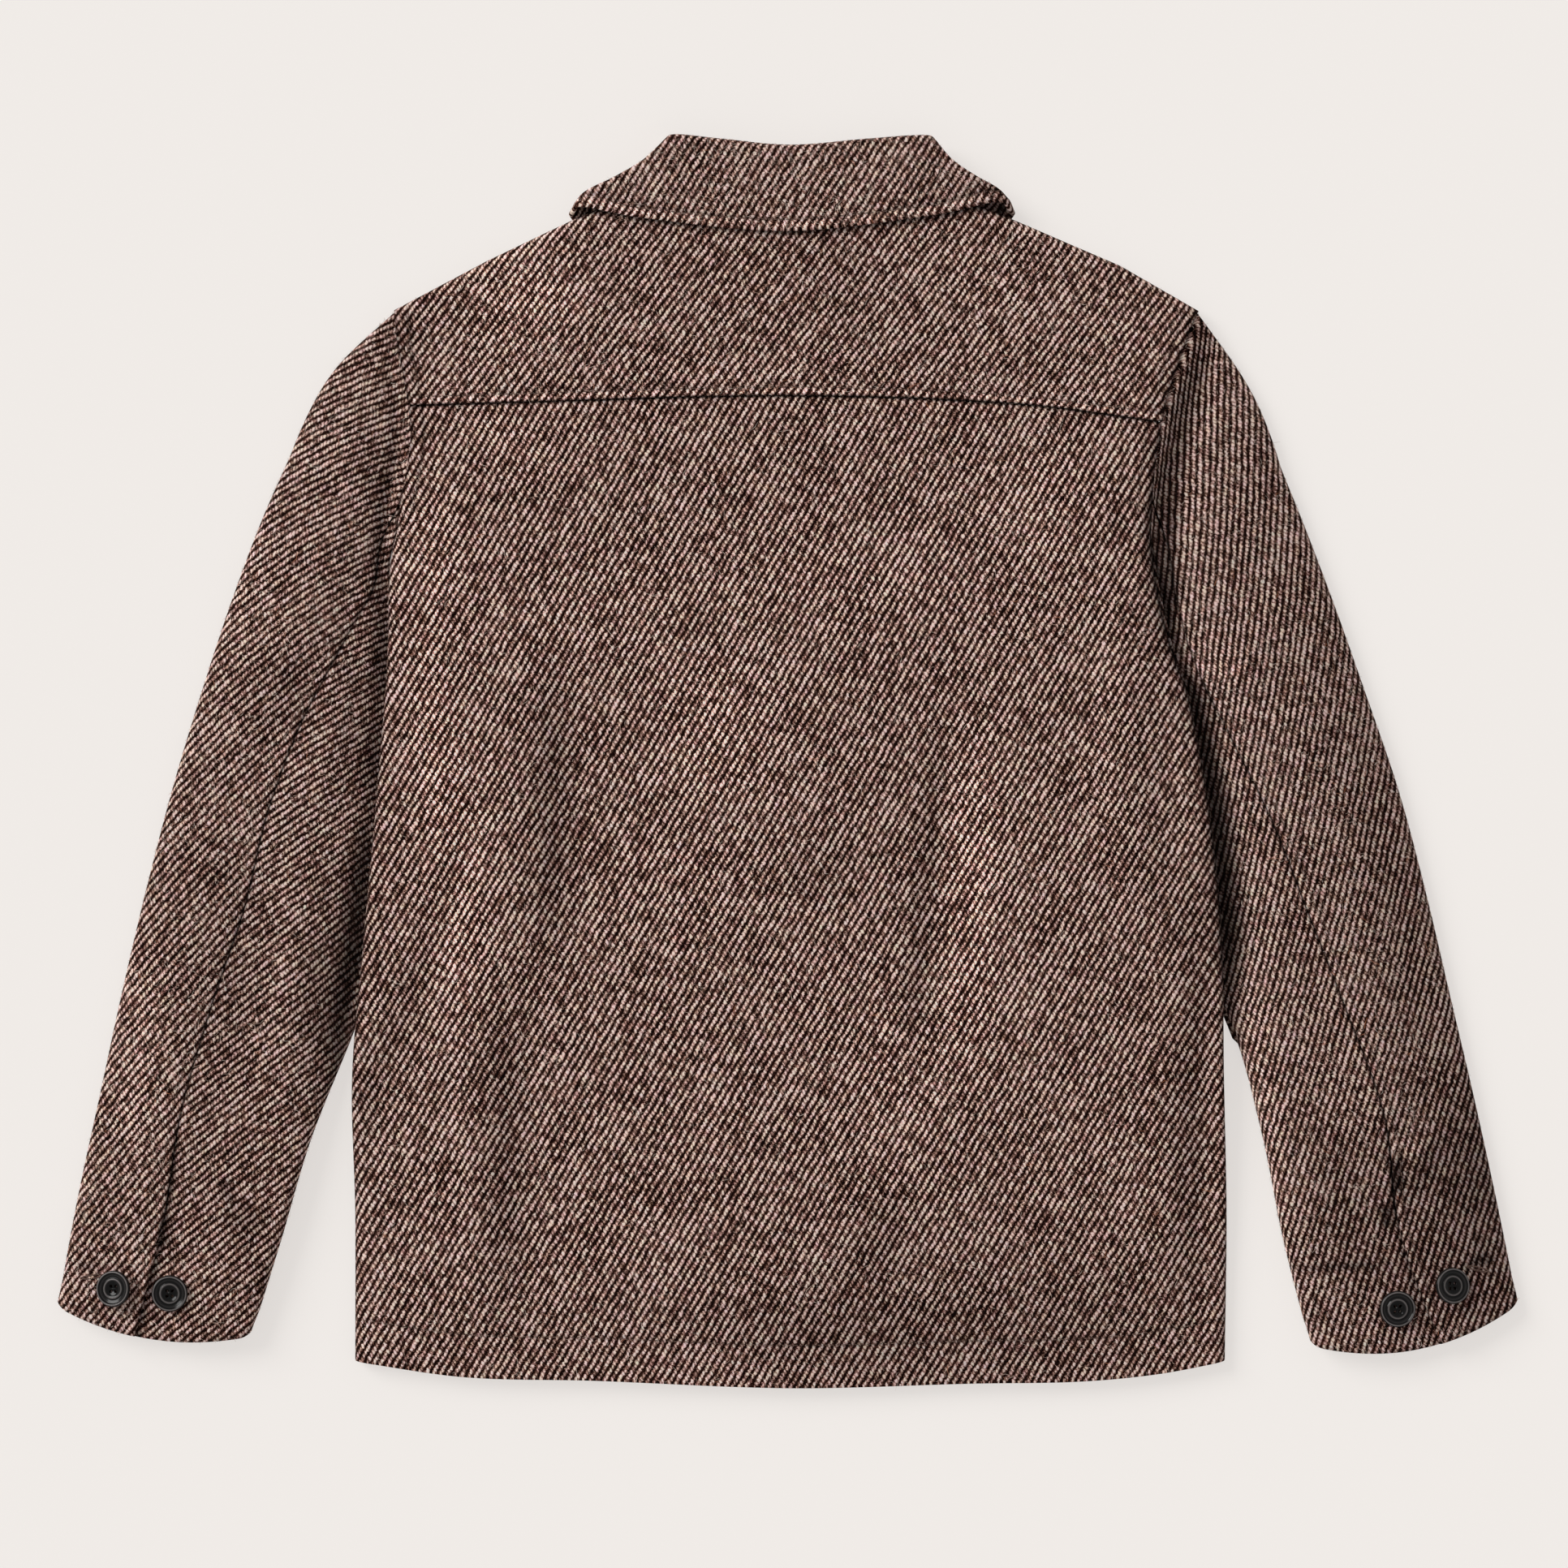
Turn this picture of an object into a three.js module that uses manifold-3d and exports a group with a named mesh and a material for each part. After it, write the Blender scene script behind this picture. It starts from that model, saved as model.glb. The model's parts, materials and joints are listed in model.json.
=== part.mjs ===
// A short wool twill jacket, buttoned up and laid face down with its back upwards.
// Millimetres. X runs to the picture's right, Y to the collar and Z up from the surface that it lies on.
import * as THREE from 'three';
import { mergeVertices } from 'three/addons/utils/BufferGeometryUtils.js';
import ManifoldModule from 'manifold-3d';

const { clamp, degToRad, lerp, smoothstep } = THREE.MathUtils;
const wasm = await ManifoldModule();
wasm.setup();

// Cloth and seams
const cloth = 2.4;
const seamGap = 0.3;
const armholeGap = 0.9;
const foldGap = 0.9;
const foldRadius = 9;
const foldRoom = 1.15;
const shoulderSlope = 0.88;
const yokeRightY = 213.5;
const shoulderRightY = 283.5;

// Heights of outer faces over the surface
const sideLevel = 11;
const middleLevel = 14.5;
const neckLevel = 15;
const hemLevel = 10;
const tuckLift = 10.6;
const sleeveLow = 9.5;

// Front closure, centre line and the strip that is held up by the buttons under it
const centreX = 2;
const overlap = 18;
const frontButtons = { count: 5, lowest: -300, highest: 215 };
const stripLift = 4.9;
const stripHalf = 50;
const stripPlace = 0.75;

// Neck and collar
const neckHalf = 87;
const armpitY = 150;
const collarTop = 18.2;
const rollTop = 19.4;
const leafLift = 3;
const leafPoint = { out: 68, y: 262 };
const leafShoulder = { out: 139, y: 344 };
const neckGap = 0.8;
const frontNeckGap = 3.2;
const rollGap = 2;
const standInset = 0.915;

// The body's outline from the hem to the shoulder points: side folds up to the armpits, then armhole seams.
const bodyOutline = [
  { y: -376, left: -272, right: 275 },
  { y: -286, left: -272, right: 276 },
  { y: -197, left: -273.5, right: 274 },
  { y: -108, left: -266, right: 272.5 },
  { y: -31, left: -259, right: 265 },
  { y: 40, left: -253, right: 252 },
  { y: 76, left: -251, right: 239.5 },
  { y: 122, left: -250, right: 230 },
  { y: 160, left: -244, right: 229 },
  { y: 203, left: -237, right: 233.5 },
  { y: 230, left: -239.5, right: 239.5 },
  { y: 260, left: -245, right: 250 },
  { y: 284, left: -247.5, right: 258.5 },
];

// The hem's lower edge
const hemLine = [
  { x: -272, y: -376 },
  { x: -203, y: -385.8 },
  { x: -123, y: -388 },
  { x: 2, y: -394 },
  { x: 117, y: -391.5 },
  { x: 183, y: -389.4 },
  { x: 232, y: -384 },
  { x: 275, y: -376 },
];

// The yoke's seam across the back
const yokeSeam = [
  { x: -240, y: 224 },
  { x: -169, y: 226 },
  { x: 2, y: 230 },
  { x: 142, y: 225 },
  { x: 236, y: yokeRightY },
];

// The shoulder lines, with the back of the neck between them
const shoulderLine = [
  { x: -247.5, y: 284 },
  { x: -189, y: 315 },
  { x: -134, y: 341 },
  { x: centreX - neckHalf, y: 362 },
  { x: -50, y: 355 },
  { x: centreX, y: 352 },
  { x: 54, y: 355 },
  { x: centreX + neckHalf, y: 362 },
  { x: 141, y: 341 },
  { x: 209, y: 314.5 },
  { x: 258.5, y: shoulderRightY },
];

// The front of the neck, by distance from the centre line
const frontNeck = [
  { out: 0, y: 288 },
  { out: 30, y: 296 },
  { out: 60, y: 320 },
  { out: neckHalf, y: 362 },
];

// Largest folds: soft ridges (above zero) and troughs, each from one point to another
const bodyFolds = [
  { fromX: -205, fromY: -160, toX: -185, toY: 60, width: 34, height: 1.8 },
  { fromX: -140, fromY: -90, toX: -130, toY: 50, width: 26, height: -2.2 },
  { fromX: 95, fromY: -110, toX: 105, toY: 40, width: 28, height: -2 },
  { fromX: 140, fromY: -60, toX: 135, toY: 30, width: 30, height: 1.8 },
  { fromX: 55, fromY: -270, toX: 150, toY: -130, width: 30, height: -1.8 },
  { fromX: -135, fromY: -300, toX: -140, toY: -180, width: 30, height: -1.8 },
];
const sleeveFolds = [
  { fromX: -292, fromY: 175, toX: -268, toY: 140, width: 12, height: -3 },
  { fromX: -325, fromY: 60, toX: -322, toY: -10, width: 16, height: -3 },
  { fromX: -350, fromY: -20, toX: -345, toY: -160, width: 22, height: -2 },
  { fromX: -372, fromY: -272, toX: -330, toY: -284, width: 9, height: -3 },
  { fromX: 250, fromY: 72, toX: 300, toY: 58, width: 15, height: 3 },
  { fromX: 262, fromY: 125, toX: 300, toY: 95, width: 14, height: -2.5 },
  { fromX: 395, fromY: -120, toX: 420, toY: -250, width: 20, height: -1.5 },
];

// Each sleeve, by sections from the armhole to the cuff: the outer fold's point, the inner fold's point,
// the back seam's place on the way from inner to outer fold, and how high the section's crown is.
const sleeves = [
  {
    name: 'left',
    sign: -1,
    cuffBow: 11,
    sections: [
      { outerX: -248.5, outerY: 284, innerX: -247.5, innerY: 149, seam: 0.14, crown: 14 },
      { outerX: -289, outerY: 238, innerX: -251, innerY: 125, seam: 0.14, crown: 18 },
      { outerX: -323, outerY: 171, innerX: -250.8, innerY: 98, seam: 0.18, crown: 19 },
      { outerX: -347, outerY: 110, innerX: -239, innerY: 62, seam: 0.35, crown: 19 },
      { outerX: -368, outerY: 47, innerX: -229, innerY: 10, seam: 0.53, crown: 19 },
      { outerX: -387, outerY: -16, innerX: -233, innerY: -48, seam: 0.6, crown: 18 },
      { outerX: -404, outerY: -81, innerX: -250, innerY: -106, seam: 0.59, crown: 18 },
      { outerX: -419, outerY: -145, innerX: -273, innerY: -170, seam: 0.61, crown: 17.5 },
      { outerX: -433, outerY: -210, innerX: -299, innerY: -236, seam: 0.61, crown: 17 },
      { outerX: -447, outerY: -275, innerX: -318, innerY: -300, seam: 0.57, crown: 16 },
      { outerX: -459.3, outerY: -340, innerX: -337, innerY: -361, seam: 0.58, crown: 14 },
    ],
    buttons: [
      { name: 'left_cuff_button_outer', across: 0.725, along: 0.962, tilt: 16, sunk: 0 },
      { name: 'left_cuff_button_inner', across: 0.457, along: 0.955, tilt: 3, sunk: 2 },
    ],
  },
  {
    name: 'right',
    sign: 1,
    cuffBow: 15,
    sections: [
      { outerX: 259.5, outerY: 283.5, innerX: 229.5, innerY: 149, seam: 0.14, crown: 14 },
      { outerX: 292, outerY: 227, innerX: 231, innerY: 125, seam: 0.14, crown: 18 },
      { outerX: 318, outerY: 167, innerX: 234.5, innerY: 98, seam: 0.15, crown: 19 },
      { outerX: 342, outerY: 105, innerX: 231, innerY: 60, seam: 0.2, crown: 19 },
      { outerX: 364, outerY: 43, innerX: 226, innerY: 8, seam: 0.36, crown: 19 },
      { outerX: 385, outerY: -19, innerX: 234, innerY: -50, seam: 0.46, crown: 18 },
      { outerX: 402, outerY: -83, innerX: 252, innerY: -108, seam: 0.5, crown: 18 },
      { outerX: 417, outerY: -147, innerX: 277, innerY: -171, seam: 0.52, crown: 17.5 },
      { outerX: 432, outerY: -211, innerX: 296, innerY: -236, seam: 0.57, crown: 17 },
      { outerX: 446, outerY: -275, innerX: 310, innerY: -300, seam: 0.53, crown: 16 },
      { outerX: 459.3, outerY: -341, innerX: 325, innerY: -363, seam: 0.6, crown: 14 },
    ],
    buttons: [
      { name: 'right_cuff_button_inner', across: 0.44, along: 0.961, tilt: 5, sunk: 2.8 },
      { name: 'right_cuff_button_outer', across: 0.704, along: 0.953, tilt: 16, sunk: 0 },
    ],
  },
];

// The seam of the under sleeve on the hidden side, on the way from inner to outer fold
const frontSeam = 0.16;

// The cuff's vent, along the sleeve, and how far the under sleeve runs beneath its flap
const vent = { opens: 0.86, slides: 0.885, runs: 0.915, under: 20, drop: 3.2 };

// The collar's fall: its roll line and its edge, on the back from the left fold to the right fold
const collarBack = [
  { rollX: -77, rollY: 391.5, edgeX: -137, edgeY: 344.5 },
  { rollX: -70, rollY: 394, edgeX: -128, edgeY: 349 },
  { rollX: -40, rollY: 391, edgeX: -88, edgeY: 342 },
  { rollX: 2, rollY: 387.3, edgeX: 0, edgeY: 334.3 },
  { rollX: 48, rollY: 391, edgeX: 90, edgeY: 344 },
  { rollX: 86, rollY: 393.5, edgeX: 130, edgeY: 352 },
  { rollX: 93, rollY: 390, edgeX: 142.5, edgeY: 345 },
];

// The same on the hidden front, from a side fold to the collar's end, by distance from the centre line
const collarFront = [
  { rollOut: 85, rollY: 391, edgeOut: 139.5, edgeY: 344.5 },
  { rollOut: 60, rollY: 368, edgeOut: 115, edgeY: 312 },
  { rollOut: 30, rollY: 338, edgeOut: 92, edgeY: 284 },
  { rollOut: 7, rollY: 322, edgeOut: 68, edgeY: 262 },
];

// Cuff and front buttons: a turned disc with a raised rim, a ring round the middle and four holes
const button = { radius: 11.5, thickness: 4, rim: 2.2, ring: 6.2, dish: 0.9, hole: 0.95, holeOut: 2.3 };

const colours = { wool: 0x776259, collar: 0x756057, button: 0x15110f };

// A smooth curve through one named column of a table, by another column that grows from row to row
function column(rows, by, name) {
  const last = rows.length - 1;
  const slope = (index) => {
    const before = rows[Math.max(index - 1, 0)];
    const after = rows[Math.min(index + 1, last)];
    return (after[name] - before[name]) / (after[by] - before[by]);
  };
  return (at) => {
    const place = clamp(at, rows[0][by], rows[last][by]);
    let index = 0;
    while (index < last - 1 && rows[index + 1][by] < place) index += 1;
    const span = rows[index + 1][by] - rows[index][by];
    const t = (place - rows[index][by]) / span;
    const [start, end] = [rows[index][name], rows[index + 1][name]];
    const [leave, arrive] = [slope(index) * span, slope(index + 1) * span];
    return start + t * (leave + t * (3 * (end - start) - 2 * leave - arrive
      + t * (2 * (start - end) + leave + arrive)));
  };
}

// The same by the row's number, from 0 at the first row to 1 at the last
function along(rows, name) {
  const numbered = rows.map((row, index) => ({ at: index / (rows.length - 1), value: row[name] }));
  return column(numbered, 'at', 'value');
}

// Straight lines between the rows of a table, which keep its corners
function cornered(rows, by, name) {
  return (at) => {
    const place = clamp(at, rows[0][by], rows[rows.length - 1][by]);
    let index = 0;
    while (index < rows.length - 2 && rows[index + 1][by] < place) index += 1;
    const [start, end] = [rows[index], rows[index + 1]];
    return lerp(start[name], end[name], (place - start[by]) / (end[by] - start[by]));
  };
}

const leftEdge = column(bodyOutline, 'y', 'left');
const rightEdge = column(bodyOutline, 'y', 'right');
const hemY = column(hemLine, 'x', 'y');
const yokeY = column(yokeSeam, 'x', 'y');
const shoulderY = cornered(shoulderLine, 'x', 'y');
const frontNeckY = column(frontNeck, 'out', 'y');

// How far cloth has turned from a fold's edge (0) to flat (1)
function turned(distance, radius) {
  const t = clamp(distance / radius, 0, 1);
  return Math.sqrt(1 - (1 - t) ** 2);
}

// The height that a table of folds adds at a point
function folded(folds, x, y) {
  let height = 0;
  for (const fold of folds) {
    const [runX, runY] = [fold.toX - fold.fromX, fold.toY - fold.fromY];
    const length = Math.hypot(runX, runY);
    const t = ((x - fold.fromX) * runX + (y - fold.fromY) * runY) / length ** 2;
    const side = ((x - fold.fromX) * runY - (y - fold.fromY) * runX) / length;
    const ends = smoothstep(t, -0.3, 0.3) * (1 - smoothstep(t, 0.7, 1.3));
    height += fold.height * ends * Math.exp(-((side / fold.width) ** 2));
  }
  return height;
}

for (const sleeve of sleeves) {
  sleeve.edge = sleeve.sign < 0 ? leftEdge : rightEdge;
  for (const name of ['outerX', 'outerY', 'innerX', 'innerY', 'seam', 'crown']) {
    sleeve[name] = along(sleeve.sections, name);
  }
  const fromCuff = sleeve.sections.toReversed();
  sleeve.innerXAtY = column(fromCuff, 'innerY', 'innerX');
}

// How far the parts of the sleeves that lie under the body lift its front at a point
function lifted(x, y) {
  let reach = 0;
  for (const sleeve of sleeves) {
    const past = (x - sleeve.innerXAtY(y)) * sleeve.sign;
    reach = Math.max(reach, smoothstep(past, -42, -10));
  }
  return tuckLift * reach * (1 - smoothstep(y, armpitY - 55, armpitY - 8));
}

// The height of the front's outer face where nothing rounds it: over sleeves, buttons and the collar's leaf
function frontBase(x, y) {
  const out = Math.abs(x - centreX);
  const towardsShoulder = Math.max((out - leafPoint.out) / (leafShoulder.out - leafPoint.out), 0);
  const leafY = lerp(leafPoint.y, leafShoulder.y, towardsShoulder);
  const overLeaf = leafLift * smoothstep(y - leafY, -60, -30);
  const alongStrip = smoothstep(y, frontButtons.lowest - 60, frontButtons.lowest - 20);
  const belowNeck = 1 - smoothstep(y, 235, leafPoint.y);
  const overButtons = stripLift * (1 - smoothstep(out, 22, stripHalf)) * alongStrip * belowNeck;
  return lifted(x, y) + Math.max(overLeaf, overButtons);
}

// The height of the back's outer face where nothing rounds it
function backLevel(x, y) {
  const fromSide = Math.min(x - leftEdge(y), rightEdge(y) - x);
  const crown = lerp(sideLevel, middleLevel, smoothstep(fromSide, 0, 120));
  const byNeck = 1 - smoothstep(Math.abs(x - centreX), 110, 190);
  const towardsNeck = smoothstep(y, 240, 310) * (neckLevel - crown) * byNeck;
  const towardsHem = smoothstep(y - hemY(x), 0, 70);
  const level = crown + towardsNeck + folded(bodyFolds, x, y);
  return lerp(hemLevel, level, towardsHem) + 0.66 * lifted(x, y);
}

// Where the body's two layers meet at a fold, how round it is there, and how far the cloth has turned
function bodyFold(x, y) {
  const level = backLevel(x, y);
  const base = frontBase(x, y);
  const half = (level - base) / 2;
  const radius = Math.min(foldRadius, half ** 2 / (foldRoom * cloth));
  const fromSide = Math.min(x - leftEdge(y), rightEdge(y) - x);
  const sideHolds = 1 - smoothstep(y, armpitY, armpitY + 30);
  const fromShoulder = (shoulderY(x) - y) * shoulderSlope;
  const shoulderHolds = smoothstep(Math.abs(x - centreX), neckHalf - 3, neckHalf + 12);
  const side = 1 - sideHolds * (1 - turned(fromSide, radius));
  const shoulder = 1 - shoulderHolds * (1 - turned(fromShoulder, radius));
  return { level, base, middle: (level + base) / 2, flat: side * shoulder };
}

function backHeight(x, y) {
  const fold = bodyFold(x, y);
  return lerp(fold.middle, fold.level, fold.flat);
}

function frontHeight(x, y) {
  const fold = bodyFold(x, y);
  const belowArmpit = Math.exp(-(((y - armpitY + 18) / 24) ** 2));
  return lerp(fold.middle - foldGap * (1 + 1.5 * belowArmpit), fold.base, fold.flat);
}

// The rise of the left front, and of what is sewn to it, onto the right front's edge
function overlapRise(x) {
  return (cloth + 2 * seamGap) * smoothstep(x, centreX - stripHalf, centreX - overlap - 5);
}

// A panel of cloth. The surface gives its outer face, and the wall goes inwards from it.
function clothPanel(surface, across, lengthwise, wall = cloth) {
  const step = 1e-4;
  const inside = (value, list) => Math.min(value + step, list[list.length - 1]) - step;
  const points = [];
  const pushLayer = (depth) => {
    for (const v of lengthwise) {
      for (const u of across) {
        const u0 = Math.max(inside(u, across), across[0]);
        const v0 = Math.max(inside(v, lengthwise), lengthwise[0]);
        const corner = surface(u0, v0);
        const alongU = surface(u0 + step, v0).sub(corner);
        const alongV = surface(u0, v0 + step).sub(corner);
        const normal = alongU.cross(alongV).normalize();
        const point = surface(u, v).addScaledVector(normal, -depth);
        points.push(point.x, point.y, point.z);
      }
    }
  };
  pushLayer(0);
  pushLayer(wall);
  const [columns, rows] = [across.length, lengthwise.length];
  const innerStart = columns * rows;
  const faces = [];
  const quad = (a, b, c, d) => faces.push(a, b, c, a, c, d);
  for (let row = 0; row < rows - 1; row += 1) {
    for (let place = 0; place < columns - 1; place += 1) {
      const a = row * columns + place;
      const [b, c, d] = [a + 1, a + 1 + columns, a + columns];
      quad(a, b, c, d);
      quad(innerStart + d, innerStart + c, innerStart + b, innerStart + a);
    }
  }
  const rim = [];
  for (let place = 0; place < columns - 1; place += 1) rim.push(place);
  for (let row = 0; row < rows - 1; row += 1) rim.push(row * columns + columns - 1);
  for (let place = columns - 1; place > 0; place -= 1) rim.push((rows - 1) * columns + place);
  for (let row = rows - 1; row > 0; row -= 1) rim.push(row * columns);
  rim.forEach((a, index) => {
    const b = rim[(index + 1) % rim.length];
    quad(b, a, innerStart + a, innerStart + b);
  });
  const geometry = new THREE.BufferGeometry();
  geometry.setAttribute('position', new THREE.Float32BufferAttribute(points, 3));
  geometry.setIndex(faces);
  return geometry;
}

const even = (count, from = 0, to = 1) =>
  Array.from({ length: count + 1 }, (_, index) => lerp(from, to, index / count));

// Places across a layer between two folds, close together where the cloth turns
const turnPlaces = [0, 0.0018, 0.007, 0.017];
const turnsBack = turnPlaces.map((place) => 1 - place).reverse();
const acrossBody = [...turnPlaces, ...even(20, 0.045, 0.955), ...turnsBack];

// Levels along the body that its panels share, by the height in the picture of their side edges
const [hemLevelY, yokeLevelY, shoulderLevelY] = [-376, 224, 284];
const lowerLevels = [
  hemLevelY, -364, -335, -295, -250, -205, -160, -115, -70, -25, 20, 60, 88, 108, 128, 148, 165, 182, 203,
  yokeLevelY,
];
const upperLevels = [yokeLevelY, 243, 260, 272, 280, 283, shoulderLevelY];
const placesOf = (levels, top) => levels.map((y) => (y - levels[0]) / (top - levels[0]));

// The back, from the hem to the yoke's seam
function backSurface(u, v) {
  const ends = [lerp(hemLevelY, yokeLevelY, v), lerp(hemLevelY, yokeRightY, v)];
  const x = lerp(leftEdge(ends[0]), rightEdge(ends[1]), u);
  const y = lerp(hemY(x), yokeY(x) - seamGap / 2, v);
  const edged = clamp(x, leftEdge(y), rightEdge(y));
  return new THREE.Vector3(edged, y, backHeight(edged, y));
}

// The yoke, from its seam to the shoulder lines and the neck
function yokeSurface(u, v) {
  const left = leftEdge(lerp(yokeLevelY, shoulderLevelY, v));
  const right = rightEdge(lerp(yokeRightY, shoulderRightY, v));
  const x = lerp(left, right, u);
  const y = lerp(yokeY(x) + seamGap / 2, shoulderY(x), v);
  const edged = clamp(x, leftEdge(y), rightEdge(y));
  return new THREE.Vector3(edged, y, backHeight(edged, y));
}

// A front, from its side fold to its edge past the centre line, with its outer face down
function frontSurface(sign, rise) {
  const edge = sign < 0 ? leftEdge : rightEdge;
  const [strip, inner] = [centreX + sign * stripHalf, centreX - sign * overlap];
  return (u, v) => {
    const side = edge(lerp(hemLevelY, shoulderLevelY, v));
    const onStrip = (u - stripPlace) / (1 - stripPlace);
    const x = onStrip < 0 ? lerp(side, strip, u / stripPlace) : lerp(strip, inner, onStrip);
    const out = Math.abs(x - centreX);
    const top = out < neckHalf ? frontNeckY(out) : shoulderY(x);
    const y = lerp(hemY(x), top, v);
    const z = frontHeight(x, y) + rise(x);
    return new THREE.Vector3(x, y, z);
  };
}

// The plan of a sleeve at a place across, from its inner to its outer fold, and a place along it
function sleevePlan(sleeve, across, v) {
  const point = new THREE.Vector2(
    lerp(sleeve.innerX(v), sleeve.outerX(v), across),
    lerp(sleeve.innerY(v), sleeve.outerY(v), across),
  );
  const atArmhole = 1 - smoothstep(v, 0, 0.16);
  const seamX = sleeve.edge(point.y) + sleeve.sign * armholeGap;
  const straightX = lerp(sleeve.innerX(0), sleeve.outerX(0), across);
  const straightY = lerp(sleeve.innerY(0), sleeve.outerY(0), across);
  point.x += atArmhole * (sleeve.edge(straightY) + sleeve.sign * armholeGap - straightX);
  const clearOfBody = point.y > 90 ? (seamX - point.x) * sleeve.sign : 0;
  point.x += sleeve.sign * Math.max(clearOfBody, 0);
  const bow = sleeve.cuffBow * 4 * across * (1 - across) * smoothstep(v, 0.75, 1);
  point.x += sleeve.sign * bow * 0.2;
  point.y -= bow;
  return point;
}

// The measures that shape a sleeve's section at a place across and along it
function sleeveSection(sleeve, across, v) {
  const point = sleevePlan(sleeve, across, v);
  const width = Math.hypot(sleeve.outerX(v) - sleeve.innerX(v), sleeve.outerY(v) - sleeve.innerY(v));
  const outerFold = (1 - across) * width * lerp(0.7, 1, smoothstep(v, 0, 0.25));
  const innerFold = across * width;
  const clearOfBody = (point.x - sleeve.edge(point.y)) * sleeve.sign;
  const turn = turned(outerFold, 7) * turned(innerFold, 5.5);
  const atArmhole = 1 - smoothstep(v, 0, 0.05);
  return { point, outerFold, clearOfBody, turn, atArmhole };
}

function sleeveTop(sleeve, across, v) {
  const { point, outerFold, clearOfBody, turn, atArmhole } = sleeveSection(sleeve, across, v);
  const swell = Math.sin((Math.PI / 2) * clamp(outerFold / 58, 0, 1)) * smoothstep(clearOfBody, 3, 38);
  const crown = (sleeve.crown(v) - sleeveLow) * swell + folded(sleeveFolds, point.x, point.y) * swell;
  const z = (sleeveLow / 2) * (1 + turn) + crown;
  const seamX = sleeve.edge(point.y) - sleeve.sign * 0.01;
  const height = lerp(z, backHeight(seamX, point.y), atArmhole);
  return new THREE.Vector3(point.x, point.y, height);
}

function sleeveBottom(sleeve, across, v) {
  const { point, turn, atArmhole } = sleeveSection(sleeve, across, v);
  const seamX = sleeve.edge(point.y) - sleeve.sign * 0.01;
  const height = lerp((sleeveLow / 2) * (1 - turn), frontHeight(seamX, point.y), atArmhole);
  return new THREE.Vector3(point.x, point.y, height);
}

// Half the gap between the two sleeve panels as a share of the section, wider where the armhole bends them
const panelGap = (v) => lerp(0.0135, 0.0012, smoothstep(v, 0, 0.12));

// The top sleeve runs from the back seam over the outer fold to the front seam: 0 to 1 on top, 1 to 2 below.
function topSleeveSurface(sleeve) {
  return (u, v) => {
    const gap = panelGap(v);
    if (u <= 1) return sleeveTop(sleeve, lerp(sleeve.seam(v) + gap, 1, u), v);
    return sleeveBottom(sleeve, lerp(1, frontSeam + gap, u - 1), v);
  };
}

// The under sleeve runs from the back seam over the inner fold to the front seam, and beneath the vent's flap.
function underSleeveSurface(sleeve) {
  return (u, v) => {
    const gap = panelGap(v);
    const width = Math.hypot(sleeve.outerX(v) - sleeve.innerX(v), sleeve.outerY(v) - sleeve.innerY(v));
    const beneath = (vent.under / width) * smoothstep(v, vent.slides, vent.runs);
    const seam = sleeve.seam(v) - gap + beneath;
    if (u > 1) return sleeveBottom(sleeve, lerp(0, frontSeam - gap, u - 1), v);
    const across = lerp(seam, 0, u);
    const fromFlap = (sleeve.seam(v) - across) * width;
    const drop = vent.drop * smoothstep(v, vent.opens - 0.06, vent.opens) * (1 - smoothstep(fromFlap, 2, 34));
    const point = sleeveTop(sleeve, across, v);
    point.z -= drop;
    return point;
  };
}

// Turns a surface's outer face over, for panels whose places run the other way round
const flipped = (surface, span) => (u, v) => surface(span - u, v);

function sleeveAcross(onTop, below) {
  const turn = [0.94, 0.985, 1, 1.015, 1.06];
  return [...even(onTop, 0, 0.86), ...turn, ...even(below, 1.14, 2)];
}

const underAcross = [0, 0.3, 0.6, 0.84, 0.94, 0.985, 1, 1.08, 1.25, 1.5, 2];

// The collar's loop: -1 to 0 is the left front, 0 to 1 the back and 1 to 2 the right front.
function collarPlan(rollOrEdge, u) {
  if (u >= 0 && u <= 1) {
    return new THREE.Vector2(
      along(collarBack, `${rollOrEdge}X`)(u),
      along(collarBack, `${rollOrEdge}Y`)(u),
    );
  }
  const sign = u < 0 ? -1 : 1;
  const start = collarPlan(rollOrEdge, u < 0 ? 0 : 1);
  const t = u < 0 ? -u : u - 1;
  const out = along(collarFront, `${rollOrEdge}Out`);
  const y = along(collarFront, `${rollOrEdge}Y`);
  const x = start.x + sign * (out(t) - out(0));
  return new THREE.Vector2(x, start.y + y(t) - y(0));
}

// How far round a side fold of the collar's loop a place is: 1 on the back, -1 on the front
function collarSide(u, distance, radius) {
  return (u >= 0 && u <= 1 ? 1 : -1) * turned(distance, radius);
}

// The left end of the stand rises with the left front
const standRise = (u, x) => (u < 0 ? overlapRise(x) : 0);

function rollHeight(u, distance, x) {
  const [back, front] = [(rollTop + neckLevel - cloth) / 2, (leafLift + cloth) / 2 + standRise(u, x) / 2];
  return (back + front) / 2 + ((back - front) / 2) * collarSide(u, distance, 10);
}

function fallSurface(u, v) {
  const roll = collarPlan('roll', u);
  const edge = collarPlan('edge', u);
  const plan = roll.clone().lerp(edge, v);
  const fold = collarPlan('roll', u < 0.5 ? 0 : 1).lerp(collarPlan('edge', u < 0.5 ? 0 : 1), v);
  const distance = plan.distanceTo(fold);
  const top = lerp(rollTop, collarTop, smoothstep(v, 0, 0.5));
  const level = top / 2 + (top / 2) * collarSide(u, distance, 10);
  const down = roll.distanceTo(edge) * v;
  const atRoll = rollHeight(u, distance, plan.x);
  const z = lerp(atRoll, level, turned(down, 3.6));
  return new THREE.Vector3(plan.x, plan.y, z);
}

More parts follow.
